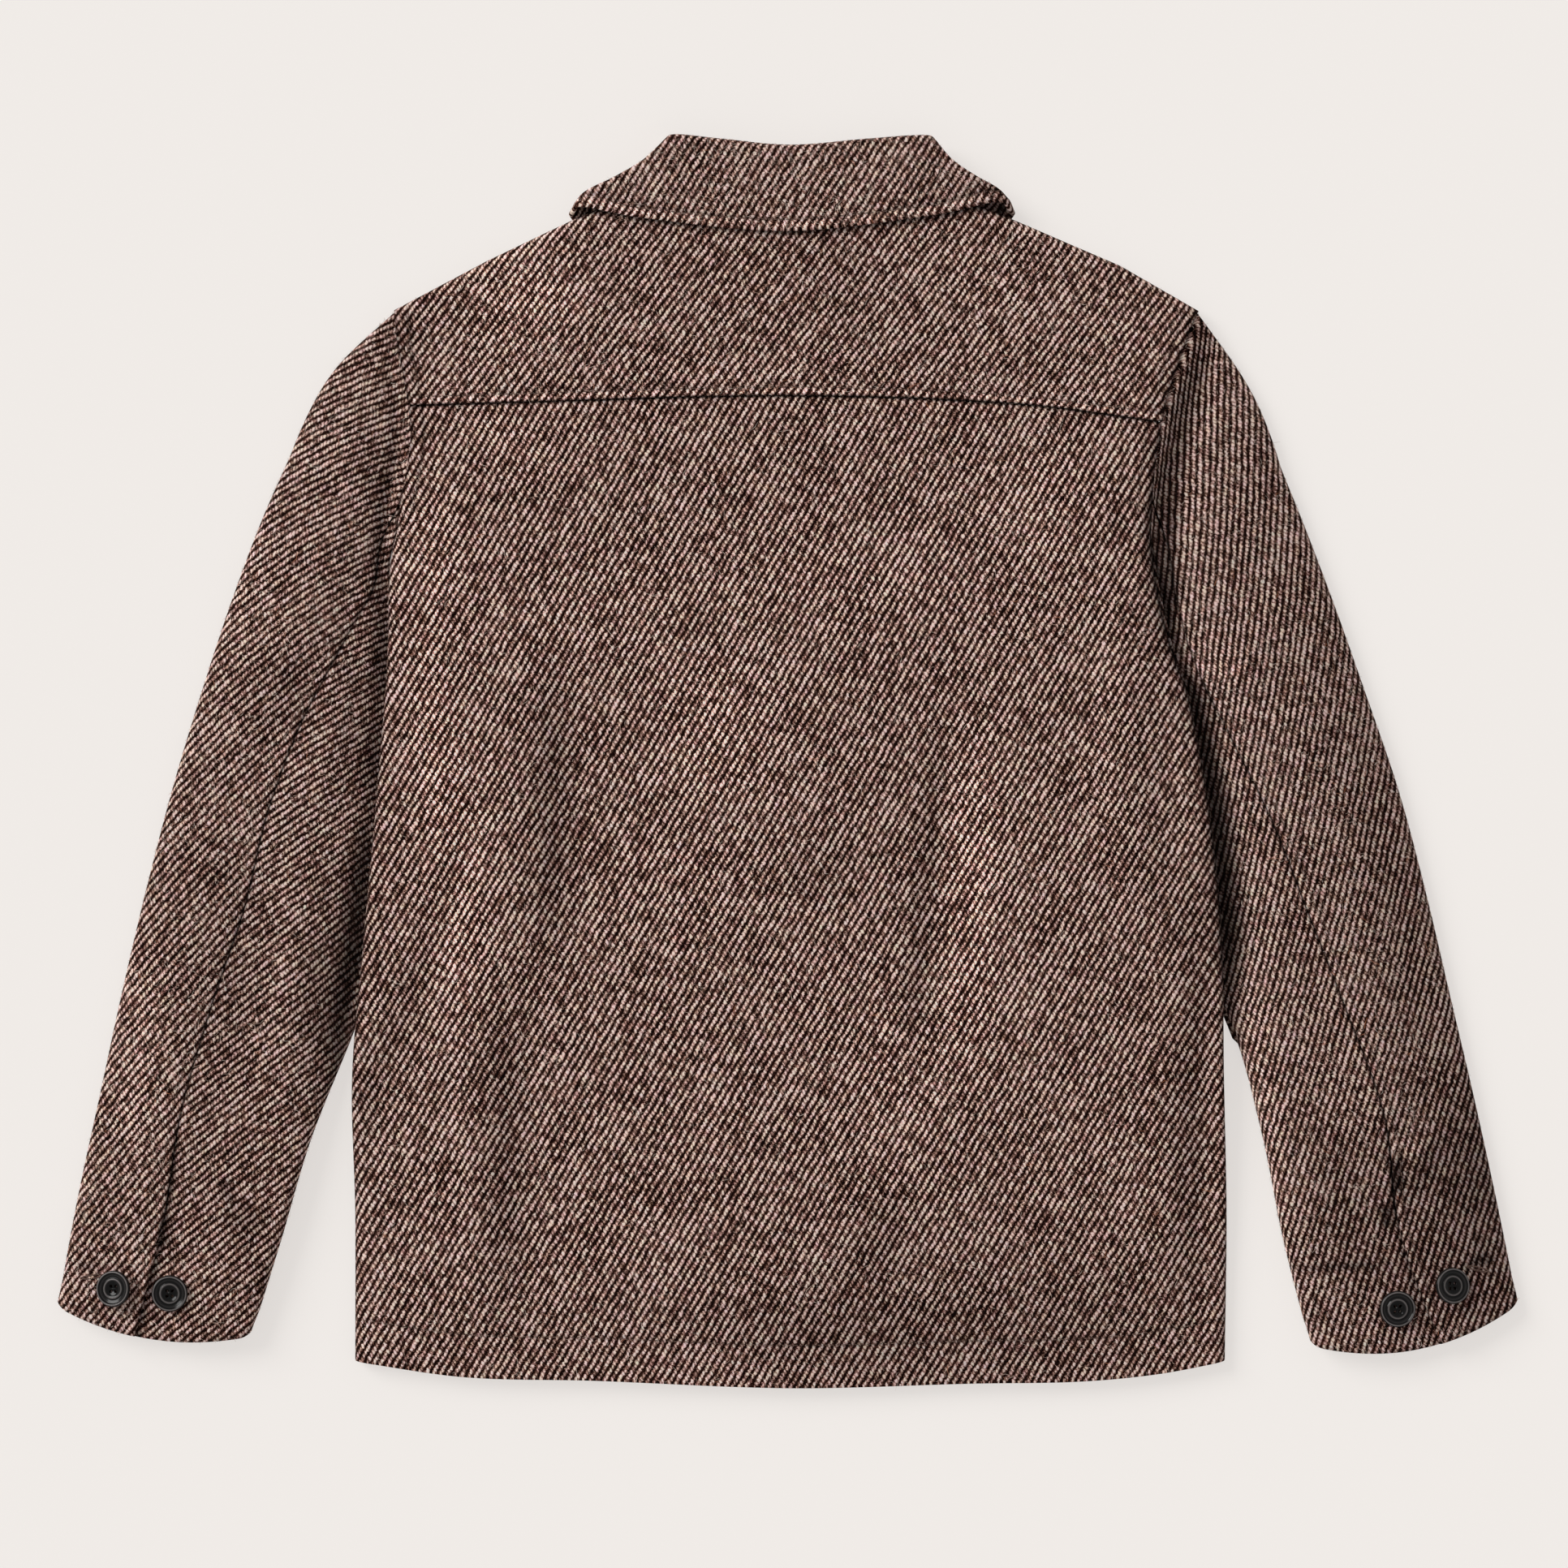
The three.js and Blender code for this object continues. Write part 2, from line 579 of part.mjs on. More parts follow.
// The neck seam's loop under the stand
function neckPlan(u) {
  if (u >= 0 && u <= 1) {
    const x = lerp(centreX - neckHalf + 1, centreX + neckHalf - 1, u);
    return new THREE.Vector2(x, shoulderY(x) + neckGap);
  }
  const t = u < 0 ? -u : u - 1;
  const out = lerp(neckHalf - 1, 7, t);
  return new THREE.Vector2(centreX + (u < 0 ? -out : out), frontNeckY(out) + frontNeckGap);
}

function standSurface(u, v) {
  const neck = neckPlan(u);
  const roll = collarPlan('roll', u);
  roll.x = lerp(centreX, roll.x, standInset);
  roll.lerp(neck, rollGap / roll.distanceTo(neck));
  const plan = neck.clone().lerp(roll, v);
  const side = u < 0.5 ? 0 : 1;
  const fold = neckPlan(side).lerp(collarPlan('roll', side), v);
  const distance = plan.distanceTo(fold);
  const [back, front] = [neckLevel - cloth, leafLift + cloth + standRise(u, plan.x)];
  const level = (back + front) / 2 + ((back - front) / 2) * collarSide(u, distance, 8);
  const down = neck.distanceTo(roll) * (1 - v);
  const atRoll = rollHeight(u, distance, plan.x) - rollGap * collarSide(u, distance, 8);
  const z = lerp(atRoll, level, turned(down, 3.6));
  return new THREE.Vector3(plan.x, plan.y, z);
}

const collarAcross = [
  ...even(6, -1, -0.14), -0.07, -0.03, 0, 0.015, 0.04, ...even(10, 0.09, 0.91), 0.96, 0.985, 1, 1.03, 1.07,
  ...even(6, 1.14, 2),
];

function manifoldOf(geometry) {
  const bare = geometry.clone();
  bare.deleteAttribute('normal');
  bare.deleteAttribute('uv');
  const merged = mergeVertices(bare, 1e-4);
  return new wasm.Manifold(new wasm.Mesh({
    numProp: 3,
    vertProperties: new Float32Array(merged.attributes.position.array),
    triVerts: new Uint32Array(merged.index.array),
  }));
}

function geometryOf(manifold) {
  const mesh = manifold.getMesh();
  const geometry = new THREE.BufferGeometry();
  geometry.setAttribute('position', new THREE.BufferAttribute(mesh.vertProperties, mesh.numProp));
  geometry.setIndex(new THREE.BufferAttribute(mesh.triVerts, 1));
  return geometry;
}

// A button whose back is at height 0 and whose face looks up. A plain one has no ring round its middle.
function buttonGeometry(sides, plain) {
  const { radius, thickness, rim, ring, dish } = button;
  const middle = plain ? [] : [[ring + 0.9, thickness - 1.4], [ring, thickness - 0.7], [ring - 1.4, thickness - 0.8]];
  const profile = [
    [0, 0], [radius - 2.4, 0], [radius, 1.7], [radius - 0.9, thickness], [radius - rim, thickness - 0.6],
    ...middle, [0, thickness - dish - 0.9],
  ].map(([out, up]) => new THREE.Vector2(out, up));
  const disc = new THREE.LatheGeometry(profile, sides);
  disc.rotateX(Math.PI / 2);
  let solid = manifoldOf(disc);
  const hole = new THREE.CylinderGeometry(button.hole, button.hole, thickness * 3, 6);
  hole.rotateX(Math.PI / 2);
  for (const quarter of [0, 1, 2, 3]) {
    const angle = (quarter + 0.5) * (Math.PI / 2);
    const drilled = hole.clone();
    drilled.translate(button.holeOut * Math.cos(angle), button.holeOut * Math.sin(angle), 0);
    solid = solid.subtract(manifoldOf(drilled));
  }
  return geometryOf(solid);
}

const jacket = new THREE.Group();
jacket.name = 'wool_jacket';

function addPiece(name, geometry, colour, roughness) {
  const material = new THREE.MeshStandardMaterial({ color: colour, roughness, metalness: 0 });
  const mesh = new THREE.Mesh(geometry, material);
  mesh.name = name;
  jacket.add(mesh);
  return mesh;
}

const woolRoughness = 0.95;
const buttonRoughness = 0.25;
const bodyRows = placesOf(lowerLevels, yokeLevelY);
const yokeRows = placesOf(upperLevels, shoulderLevelY);
const frontRows = placesOf([...lowerLevels, ...upperLevels.slice(1)], shoulderLevelY);
const frontAcross = [0, 0.003, 0.012, 0.03, ...even(7, 0.08, 0.75), 0.79, 0.86, 0.93, 1];

addPiece('back', clothPanel(backSurface, acrossBody, bodyRows), colours.wool, woolRoughness);
addPiece('back_yoke', clothPanel(yokeSurface, acrossBody, yokeRows), colours.wool, woolRoughness);

const leftFront = frontSurface(-1, overlapRise);
const rightFront = frontSurface(1, () => 0);
const frontReversed = frontAcross.map((place) => 1 - place).reverse();
addPiece('left_front', clothPanel(flipped(leftFront, 1), frontReversed, frontRows), colours.wool, woolRoughness);
addPiece('right_front', clothPanel(rightFront, frontAcross, frontRows), colours.wool, woolRoughness);

const ventRows = [vent.opens, vent.slides, vent.runs];
const sleeveRows = [0, 0.025, 0.06, ...even(9, 0.12, 0.745), 0.8, 0.83, ...ventRows, 0.955, 1];
for (const sleeve of sleeves) {
  const topAcross = sleeveAcross(6, 6);
  const [top, under] = [topSleeveSurface(sleeve), underSleeveSurface(sleeve)];
  const reversed = (places) => places.map((place) => 2 - place).reverse();
  const topGeometry = sleeve.sign > 0
    ? clothPanel(flipped(top, 2), reversed(topAcross), sleeveRows)
    : clothPanel(top, topAcross, sleeveRows);
  const underGeometry = sleeve.sign > 0
    ? clothPanel(under, underAcross, sleeveRows)
    : clothPanel(flipped(under, 2), reversed(underAcross), sleeveRows);
  addPiece(`${sleeve.name}_top_sleeve`, topGeometry, colours.wool, woolRoughness);
  addPiece(`${sleeve.name}_under_sleeve`, underGeometry, colours.wool, woolRoughness);
}

const fallRows = [0, 0.012, 0.05, 0.12, 0.35, 0.65, 1];
const standRows = [0, 0.4, 0.8, 0.95, 0.99, 1];
const collarReversed = collarAcross.map((place) => 1 - place).reverse();
addPiece('collar_fall', clothPanel(flipped(fallSurface, 1), collarReversed, fallRows), colours.collar, woolRoughness);
addPiece('collar_stand', clothPanel(flipped(standSurface, 1), collarReversed, standRows), colours.collar, woolRoughness);

// A cuff button sits on the sleeve's outer face and leans outwards on its thread.
function seatOnSleeve(mesh, sleeve, place) {
  const step = 0.01;
  const point = sleeveTop(sleeve, place.across, place.along);
  const outwards = sleeveTop(sleeve, place.across + step, place.along).sub(point).normalize();
  const towardsCuff = sleeveTop(sleeve, place.across, place.along + step).sub(point).normalize();
  const normal = outwards.clone().cross(towardsCuff).multiplyScalar(-sleeve.sign).normalize();
  const tilt = degToRad(place.tilt);
  const facing = normal.clone().multiplyScalar(Math.cos(tilt)).addScaledVector(outwards, Math.sin(tilt));
  const standOff = seamGap + (button.radius - 1) * Math.sin(tilt) - place.sunk;
  mesh.position.copy(point).addScaledVector(normal, standOff);
  mesh.quaternion.setFromUnitVectors(new THREE.Vector3(0, 0, 1), facing);
}

const finestButton = buttonGeometry(18, false);
for (const sleeve of sleeves) {
  for (const place of sleeve.buttons) {
    const mesh = addPiece(place.name, finestButton, colours.button, buttonRoughness);
    seatOnSleeve(mesh, sleeve, place);
  }
}

// Front buttons lie face down under the right front.
const plainButton = buttonGeometry(12, true);
for (let index = 0; index < frontButtons.count; index += 1) {
  const y = lerp(frontButtons.lowest, frontButtons.highest, index / (frontButtons.count - 1));
  const mesh = addPiece(`front_button_${index + 1}`, plainButton, colours.button, buttonRoughness);
  mesh.position.set(centreX, y, stripLift - seamGap);
  mesh.rotation.x = Math.PI;
}

export default jacket;
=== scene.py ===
# A short wool twill jacket laid face down, dressed over its solids: cloth, seams, stitches, buttons and fuzz.
# Measures are in millimetres in the tables and functions, and in metres on the objects.
import json
import math

import bpy
import numpy as np
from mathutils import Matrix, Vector

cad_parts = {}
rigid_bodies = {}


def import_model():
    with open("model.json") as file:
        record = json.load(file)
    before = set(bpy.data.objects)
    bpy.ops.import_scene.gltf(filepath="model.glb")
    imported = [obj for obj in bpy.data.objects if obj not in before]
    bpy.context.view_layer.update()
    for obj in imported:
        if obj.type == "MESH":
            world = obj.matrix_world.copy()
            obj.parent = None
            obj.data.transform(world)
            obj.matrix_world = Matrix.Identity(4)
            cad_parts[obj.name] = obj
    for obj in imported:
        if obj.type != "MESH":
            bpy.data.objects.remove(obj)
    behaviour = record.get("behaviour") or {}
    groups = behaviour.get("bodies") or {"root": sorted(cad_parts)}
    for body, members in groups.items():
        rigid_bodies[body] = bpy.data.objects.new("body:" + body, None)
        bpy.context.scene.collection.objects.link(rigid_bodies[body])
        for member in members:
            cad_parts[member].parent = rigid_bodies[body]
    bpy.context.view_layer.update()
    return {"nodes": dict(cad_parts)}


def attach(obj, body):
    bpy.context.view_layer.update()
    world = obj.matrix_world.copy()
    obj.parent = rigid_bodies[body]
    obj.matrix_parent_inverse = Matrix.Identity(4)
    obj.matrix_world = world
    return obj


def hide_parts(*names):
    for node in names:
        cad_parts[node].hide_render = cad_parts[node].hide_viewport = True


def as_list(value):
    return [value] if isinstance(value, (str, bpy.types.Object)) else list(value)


scene = bpy.context.scene
for start_object in list(scene.objects):
    bpy.data.objects.remove(start_object)
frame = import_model()

# Camera, straight above the jacket as in the photo, so far off that it hardly sees depth
camera_height = 5.0
seen_width, seen_level = 0.985, 0.012
sensor_width = 36
camera = bpy.data.objects.new("camera", bpy.data.cameras.new("camera"))
scene.collection.objects.link(camera)
camera.data.sensor_width = sensor_width
camera.data.lens = sensor_width * (camera_height - seen_level) / seen_width
camera.data.clip_end = 50
camera.data.dof.use_dof = False
camera.location = (-0.0023, -0.0140, camera_height)
scene.camera = camera

# Cloth, levels and places, as the solids have them
cloth, fall_cloth = 2.2, 2.8
armhole_gap = -1.2
fold_gap = 0.9
fold_radius, tightest_fold = 9, 1.15
shoulder_slope = 0.88
cuff_corner = 4
side_level, middle_level, neck_level, hem_level = 11, 14.5, 15, 10
tuck_lift, back_lift_share = 10.6, 0.66
sleeve_low = 9.5
centre_x = 2
overlap = 18
strip_lift, strip_half, strip_place = 4.9, 50, 0.75
neck_half = 87
armpit_y = 150
collar_top, roll_top = 18.2, 19.4
leaf_lift, leaf_out, leaf_reach, leaf_low_y, leaf_high_y = 3, 68, 71, 262, 344
neck_gap, front_neck_gap = 0.8, 3.2
roll_gap, stand_inset = 2, 0.915
solid_cloth = 2.4
front_seam = 0.16
lowest_button, front_button_count = -300, 5
hem_level_y, yoke_level_y, shoulder_level_y = -376, 224, 284
yoke_right_y, shoulder_right_y = 213.5, 283.5


def table(columns, *rows):
    names = columns.split()
    return [dict(zip(names, row)) for row in rows]


body_outline = table(
    "y left right",
    (-376, -272, 275), (-286, -272, 276), (-197, -273.5, 274), (-108, -266, 272.5), (-31, -259, 265),
    (40, -253, 252), (76, -251, 239.5), (122, -250, 230), (160, -244, 229), (203, -237, 233.5),
    (230, -239.5, 239.5), (260, -245, 250), (284, -247.5, 258.5),
)
hem_line = table(
    "x y",
    (-272, -376), (-203, -385.8), (-123, -388), (2, -392.7), (117, -389.8), (183, -388.6),
    (232, -384), (275, -376),
)
yoke_seam = table("x y", (-240, 224), (-169, 226), (2, 230), (142, 225), (236, 213.5))
shoulder_line = table(
    "x y",
    (-247.5, 284), (-189, 315), (-134, 341), (centre_x - neck_half, 362), (-50, 355), (centre_x, 352),
    (54, 355), (centre_x + neck_half, 362), (141, 341), (209, 312), (258.5, 283.5),
)
front_neck = table("out y", (0, 288), (30, 296), (60, 320), (neck_half, 362))

# Folds and creases: soft ridges (above zero) and troughs, each from one point to another
fold_columns = "from_x from_y to_x to_y width height"
body_folds = table(
    fold_columns,
    (-192, -150, -180, 40, 30, 3.4), (-198, -340, -196, -150, 24, 2.6), (99, -125, 102, 20, 26, -3),
    (95, -330, 70, -100, 60, 3.2), (5, -60, 10, 80, 55, 2.6), (196, 70, 204, 200, 28, 2.8),
    (-120, 60, -100, 200, 60, 1.6), (-60, -340, -20, -200, 50, 2), (160, -20, 185, -200, 34, 1.6),
    (-165, 262, -110, 296, 26, 2.2),
)
sleeve_folds = table(
    fold_columns,
    (-292, 175, -268, 140, 12, -3), (-325, 60, -322, -10, 16, -3.6), (-350, -20, -345, -160, 22, -2.6),
    (-372, -272, -330, -284, 9, -3.4), (250, 72, 300, 58, 15, 3.4), (262, 125, 300, 95, 14, -3),
    (395, -120, 420, -250, 20, -2.2), (-300, 110, -262, 96, 12, 2.4), (-290, 22, -262, 14, 10, 2.4),
    (-402, -150, -398, -260, 16, 2.2), (-300, -120, -318, -210, 16, 2.4), (340, -230, 352, -330, 14, -2.6),
    (300, -60, 318, -170, 18, 2.4), (372, -60, 384, -170, 18, 1.8), (-300, 236, -276, 190, 14, 2),
    (290, 236, 300, 170, 16, 2), (-256, 214, -253, 118, 4, -2.4), (249, 262, 240, 170, 7, -2.6),
)
body_creases = table(
    fold_columns,
    (-228, 60, -222, 190, 9, -1.1), (-206, 100, -214, 196, 7, 0.7), (214, 50, 216, 190, 9, -1.1),
    (196, 96, 202, 180, 8, 0.6), (-90, 120, -70, 190, 24, -0.7), (60, 110, 96, 196, 26, -0.8),
    (-60, -330, -20, -150, 26, 0.6), (200, -330, 214, -150, 22, 0.8), (-236, -330, -232, -170, 16, 0.7),
    (10, -120, 22, 40, 34, 0.6), (-120, 246, -60, 300, 22, 0.6), (80, 300, 150, 262, 22, 0.6),
    (180, -300, 240, -230, 15, -0.7), (-226, -250, -190, -190, 15, -0.6), (-30, 60, 10, 150, 30, -0.5),
)
sleeve_creases = table(
    fold_columns,
    (-270, 232, -252, 214, 7, -1.4), (-300, 130, -262, 112, 8, -1.3), (-344, 96, -300, 84, 9, 0.9),
    (-300, 20, -258, -6, 9, -1.2), (-372, -110, -330, -124, 9, 0.8), (-400, -170, -352, -186, 9, -0.9),
    (-404, -236, -360, -246, 8, 0.8), (-430, -300, -396, -308, 7, -0.9), (268, 218, 290, 188, 8, -1.4),
    (300, 120, 340, 96, 9, 0.9), (262, 20, 306, -4, 9, -1.4), (330, -40, 366, -66, 10, 0.9),
    (352, -196, 404, -214, 9, -0.9), (330, -262, 372, -276, 8, -1), (400, -288, 440, -300, 7, 0.8),
    (300, -130, 330, -170, 9, -1),
)

# Painted shade in the hollows, creases and slits, and painted light (below zero) on the crests, each from one
# point to another
body_painted_shading = table(
    fold_columns,
    (-150, -110, -146, 45, 13, 0.39), (-178, -330, -178, -150, 14, 0.31), (76, -190, 94, 5, 9, 0.34),
    (-220, -20, -226, 165, 18, -0.34), (-206, -150, -208, 10, 22, -0.29), (-48, -20, -46, 60, 34, -0.26),
    (112, -180, 116, 5, 18, -0.36), (72, -230, 74, -160, 24, -0.18), (154, 130, 160, 196, 22, -0.16),
    (-194, 280, -136, 300, 28, -0.28), (-190, 190, -170, 215, 30, -0.16), (30, -376, 240, -340, 60, 0.21),
    (56, -320, 64, -270, 20, 0.23), (250, -330, 256, -90, 13, 0.39), (228, -120, 226, 90, 17, 0.18),
    (-30, -376, 60, -330, 40, 0.13), (10, 300, 60, 330, 60, 0.10), (-245, 210, -240, 284, 9, 0.18),
    (-170, 90, 120, 130, 34, -0.10), (-110, -60, -40, -80, 40, -0.10), (2, -376, 2, -340, 180, 0.08),
    (0, -75, 40, -60, 20, 0.16),
)
sleeve_painted_shading = table(
    fold_columns,
    (405, -360, 414, -230, 50, 0.34), (420, -230, 352, 60, 34, 0.26), (446, -350, 425, -180, 20, 0.26),
    (300, 200, 340, 60, 40, 0.08), (-314, 20, -312, 66, 13, 0.3), (-355, -284, -328, -290, 9, 0.45),
    (-296, 60, -290, 120, 12, 0.12), (-340, -60, -350, -180, 16, 0.18), (-402, -120, -408, -230, 18, -0.2),
    (-298, -110, -300, -175, 10, 0.26), (252, 60, 292, 56, 9, -0.3), (-372, -120, -380, -240, 16, 0.08),
    (290, -150, 310, -310, 12, -0.24), (-282, 130, -262, 60, 10, -0.16), (-262, -4, -290, -60, 9, -0.2),
    (383.4, -249, 382.6, -269, 3.4, 1.2), (376, -279, 376, -292, 4, 0.8), (300, -318, 378, -316, 3, 0.4),
    (-391.5, -287, -393, -305, 3.4, 0.9), (-352, -262, -352, -275, 4, 0.5),
    (-388, -312, -378, -309, 3, 0.35), (-430, -318, -447, -315, 3, 0.45),
    (426, -316, 444, -311, 3, 0.5), (400, -226, 380, -262, 8, -0.25), (408, -236, 392, -274, 6, 0.2),
    (-340, -300, -326, -340, 12, 0.14), (345, -240, 356, -330, 12, 0.24), (-330, 140, -352, 60, 14, -0.08),
)

sleeve_columns = "outer_x outer_y inner_x inner_y seam crown"
sleeves = [
    {
        "name": "left", "sign": -1, "cuff_bow": 11, "cap": 3, "grain_x": -398,
        "grain": table("y lean", (-350, 80), (-200, 79), (-60, 76), (60, 69), (140, 58), (284, 54)),
        "sections": table(
            sleeve_columns,
            (-248.5, 284, -247.5, 149, 0.14, 14), (-289, 238, -251, 125, 0.14, 18),
            (-323, 171, -246, 98, 0.18, 19), (-347, 110, -239, 62, 0.35, 19), (-368, 47, -229, 10, 0.53, 19),
            (-387, -16, -233, -48, 0.6, 18), (-404, -81, -250, -106, 0.59, 18),
            (-419, -145, -273, -170, 0.61, 17.5), (-433, -210, -299, -236, 0.61, 17),
            (-447, -275, -318, -300, 0.57, 16), (-459.3, -342.5, -337, -361, 0.58, 14),
        ),
        "buttons": table(
            "name across along tilt sunk", ("left_cuff_button_outer", 0.725, 0.962, 16, 0),
            ("left_cuff_button_inner", 0.457, 0.955, 3, 2),
        ),
    },
    {
        "name": "right", "sign": 1, "cuff_bow": 15, "cap": 3.8, "grain_x": 392,
        "grain": table("y lean", (-350, 102), (-200, 102), (-40, 107), (80, 112), (160, 117), (284, 119)),
        "sections": table(
            sleeve_columns,
            (259.5, 283.5, 229.5, 149, 0.14, 14), (292, 227, 231, 125, 0.14, 18),
            (318, 167, 230, 98, 0.15, 19), (342, 105, 231, 60, 0.2, 19), (364, 43, 226, 8, 0.36, 19),
            (385, -19, 234, -50, 0.46, 18), (402, -83, 252, -108, 0.5, 18),
            (417, -147, 281, -171, 0.52, 17.5), (432, -211, 298.5, -236, 0.57, 17),
            (446, -275, 311.5, -301, 0.53, 16), (459.3, -341, 328.5, -367, 0.6, 14),
        ),
        "buttons": table(
            "name across along tilt sunk", ("right_cuff_button_inner", 0.44, 0.961, 5, 2.8),
            ("right_cuff_button_outer", 0.704, 0.953, 16, 0),
        ),
    },
]
# Painted shade in the valley where each sleeve meets the body's edge: at each y, how deep it is and how far
# out from the body's edge it starts and ends, in mm
valley_columns = "y depth starts ends"
sleeves[0]["valley"] = table(
    valley_columns, (-215, 0.3, 8, 16), (-170, 0.75, 5, 18), (-120, 0.85, -2, 15), (-60, 0.8, -2, 12),
    (-30, 0.45, -2, 7), (-3, 0.75, -2, 9), (30, 0.45, -2, 6), (64, 0.75, -2, 9), (98, 0.4, -1, 8),
    (120, 0.6, 5, 11), (150, 0.68, 7, 13), (180, 0.62, 8, 14), (215, 0.5, 8, 14), (245, 0.25, 6, 11),
    (284, 0.1, 0, 3),
)
sleeves[1]["valley"] = table(
    valley_columns, (-220, 0.2, 0, 8), (-150, 0.5, -2, 10), (-115, 0.85, -2, 14), (-20, 0.85, -2, 13),
    (50, 0.8, -2, 10), (62, 0.5, -2, 3), (92, 0.97, -2, 6), (104, 0.85, -1, 13), (150, 0.75, 0, 16),
    (190, 0.68, 3, 18), (240, 0.66, 5, 20), (270, 0.4, 3, 12), (284, 0.15, 0, 4),
)
vent = {"opens": 0.86, "slides": 0.885, "runs": 0.915, "under": 20, "drop": 3.2}

collar_back = table(
    "roll_x roll_y edge_x edge_y",
    (-77, 391.5, -137, 344.5), (-70, 394, -128, 349), (-40, 391, -88, 342), (2, 387.3, 0, 334.3),
    (48, 391, 90, 344), (86, 393.5, 130, 352), (93, 390, 142.5, 345),
)
collar_front = table(
    "roll_out roll_y edge_out edge_y", (85, 391, 139.5, 344.5), (60, 368, 115, 312), (30, 338, 92, 284),
    (7, 322, 68, 262),
)


def smoothstep(value, low, high):
    t = np.clip((value - low) / (high - low), 0, 1)
    return t * t * (3 - 2 * t)


def lerp(start, end, t):
    return start + (end - start) * t


def curve(places, values):
    """A smooth curve through the values at growing places."""
    places, values = np.array(places, float), np.array(values, float)
    last = len(places) - 1
    before, after = np.maximum(np.arange(last + 1) - 1, 0), np.minimum(np.arange(last + 1) + 1, last)
    slopes = (values[after] - values[before]) / (places[after] - places[before])

    def at(place):
        place = np.clip(place, places[0], places[-1])
        index = np.clip(np.searchsorted(places, place) - 1, 0, last - 1)
        span = places[index + 1] - places[index]
        t = (place - places[index]) / span
        start, end = values[index], values[index + 1]
        leave, arrive = slopes[index] * span, slopes[index + 1] * span
        square, cube = 3 * (end - start) - 2 * leave - arrive, 2 * (start - end) + leave + arrive
        return start + t * (leave + t * (square + t * cube))

    return at


def column(rows, by, name):
    return curve([row[by] for row in rows], [row[name] for row in rows])


def along(rows, name):
    return curve(np.linspace(0, 1, len(rows)), [row[name] for row in rows])


left_edge = column(body_outline, "y", "left")
right_edge = column(body_outline, "y", "right")
hem_y = column(hem_line, "x", "y")
yoke_y = column(yoke_seam, "x", "y")
front_neck_y = column(front_neck, "out", "y")
collar_xs = [row["edge_x"] for row in collar_back]
collar_ys = [row["edge_y"] for row in collar_back]
shoulder_xs = [row["x"] for row in shoulder_line]
shoulder_ys = [row["y"] for row in shoulder_line]


def shoulder_y(x):
    return np.interp(x, shoulder_xs, shoulder_ys)


def turned(distance, radius):
    t = np.clip(distance / radius, 0, 1)
    return np.sqrt(1 - (1 - t) ** 2)


def folded(folds, x, y):
    height = 0 * (x + y)
    for fold in folds:
        run_x, run_y = fold["to_x"] - fold["from_x"], fold["to_y"] - fold["from_y"]
        length = math.hypot(run_x, run_y)
        t = ((x - fold["from_x"]) * run_x + (y - fold["from_y"]) * run_y) / length**2
        side = ((x - fold["from_x"]) * run_y - (y - fold["from_y"]) * run_x) / length
        ends = smoothstep(t, -0.3, 0.3) * (1 - smoothstep(t, 0.7, 1.3))
        height = height + fold["height"] * ends * np.exp(-((side / fold["width"]) ** 2))
    return height


for sleeve in sleeves:
    sleeve["edge"] = left_edge if sleeve["sign"] < 0 else right_edge
    for name in sleeve_columns.split():
        sleeve[name] = along(sleeve["sections"], name)
    sleeve["inner_x_at_y"] = column(sleeve["sections"][::-1], "inner_y", "inner_x")


def near(distance, at, half_width):
    """A smooth bell that is 1 at a distance and fades out within about twice the half width."""
    return np.exp(-(((distance - at) / half_width) ** 2))


def groove(distance, at, half_width, depth):
    """A narrow trough, as a row of stitches pulls into wool."""
    return -depth * near(distance, at, half_width)


def lifted(x, y):
    """How far the body's edge is lifted by the sleeve that is tucked under it."""
    reach = 0 * (x + y)
    for sleeve in sleeves:
        past = (x - sleeve["inner_x_at_y"](y)) * sleeve["sign"]
        reach = np.maximum(reach, smoothstep(past, -42, -10))
    return tuck_lift * reach * (1 - smoothstep(y, armpit_y - 55, armpit_y - 8))


def front_base(x, y):
    """The hidden fronts' height over the floor, where they lie on a sleeve, a collar leaf or the buttons."""
    out = np.abs(x - centre_x)
    leaf_edge_y = lerp(leaf_low_y, leaf_high_y, (out - leaf_out) / leaf_reach)
    leaf_y = np.where(out < leaf_out, leaf_low_y, leaf_edge_y)
    over_leaf = leaf_lift * smoothstep(y - leaf_y, -60, -30)
    along_strip = smoothstep(y, lowest_button - 60, lowest_button - 20)
    on_strip = (1 - smoothstep(out, 22, strip_half)) * along_strip * (1 - smoothstep(y, 235, leaf_low_y))
    return lifted(x, y) + np.maximum(over_leaf, strip_lift * on_strip)


# Hem and topstitching, by distance from the edge or the seam
hem_stitch = 26
yoke_stitch = 5.1
armhole_stitch = 8.7
sleeve_stitch = 5.5
collar_stitch = 6


# How far ridges and grooves stand above or below the cloth there
hem_ridge, hem_groove = 0.9, 1.1
yoke_ridge, yoke_dip, yoke_groove = 1.3, 1.7, 0.6
armhole_ridge, armhole_groove = 0.9, 0.9
sleeve_ridge, sleeve_dip, cuff_ridge, body_valley = 0.7, 1.0, 0.6, 3.2
collar_ridge, collar_groove = 0.7, 0.8


def side_distance(x, y):
    return np.minimum(x - left_edge(y), right_edge(y) - x)


def back_level(x, y):
    """The back's plain height, with its broad folds."""
    from_side = side_distance(x, y)
    crown = lerp(side_level, middle_level, smoothstep(from_side, 0, 120))
    below_neck = smoothstep(y, 240, 310) * (1 - smoothstep(np.abs(x - centre_x), 110, 190))
    towards_neck = (neck_level - crown) * below_neck
    from_hem = y - hem_y(x)
    level = crown + towards_neck + folded(body_folds, x, y)
    return lerp(hem_level, level, smoothstep(from_hem, 0, 70)) + back_lift_share * lifted(x, y)


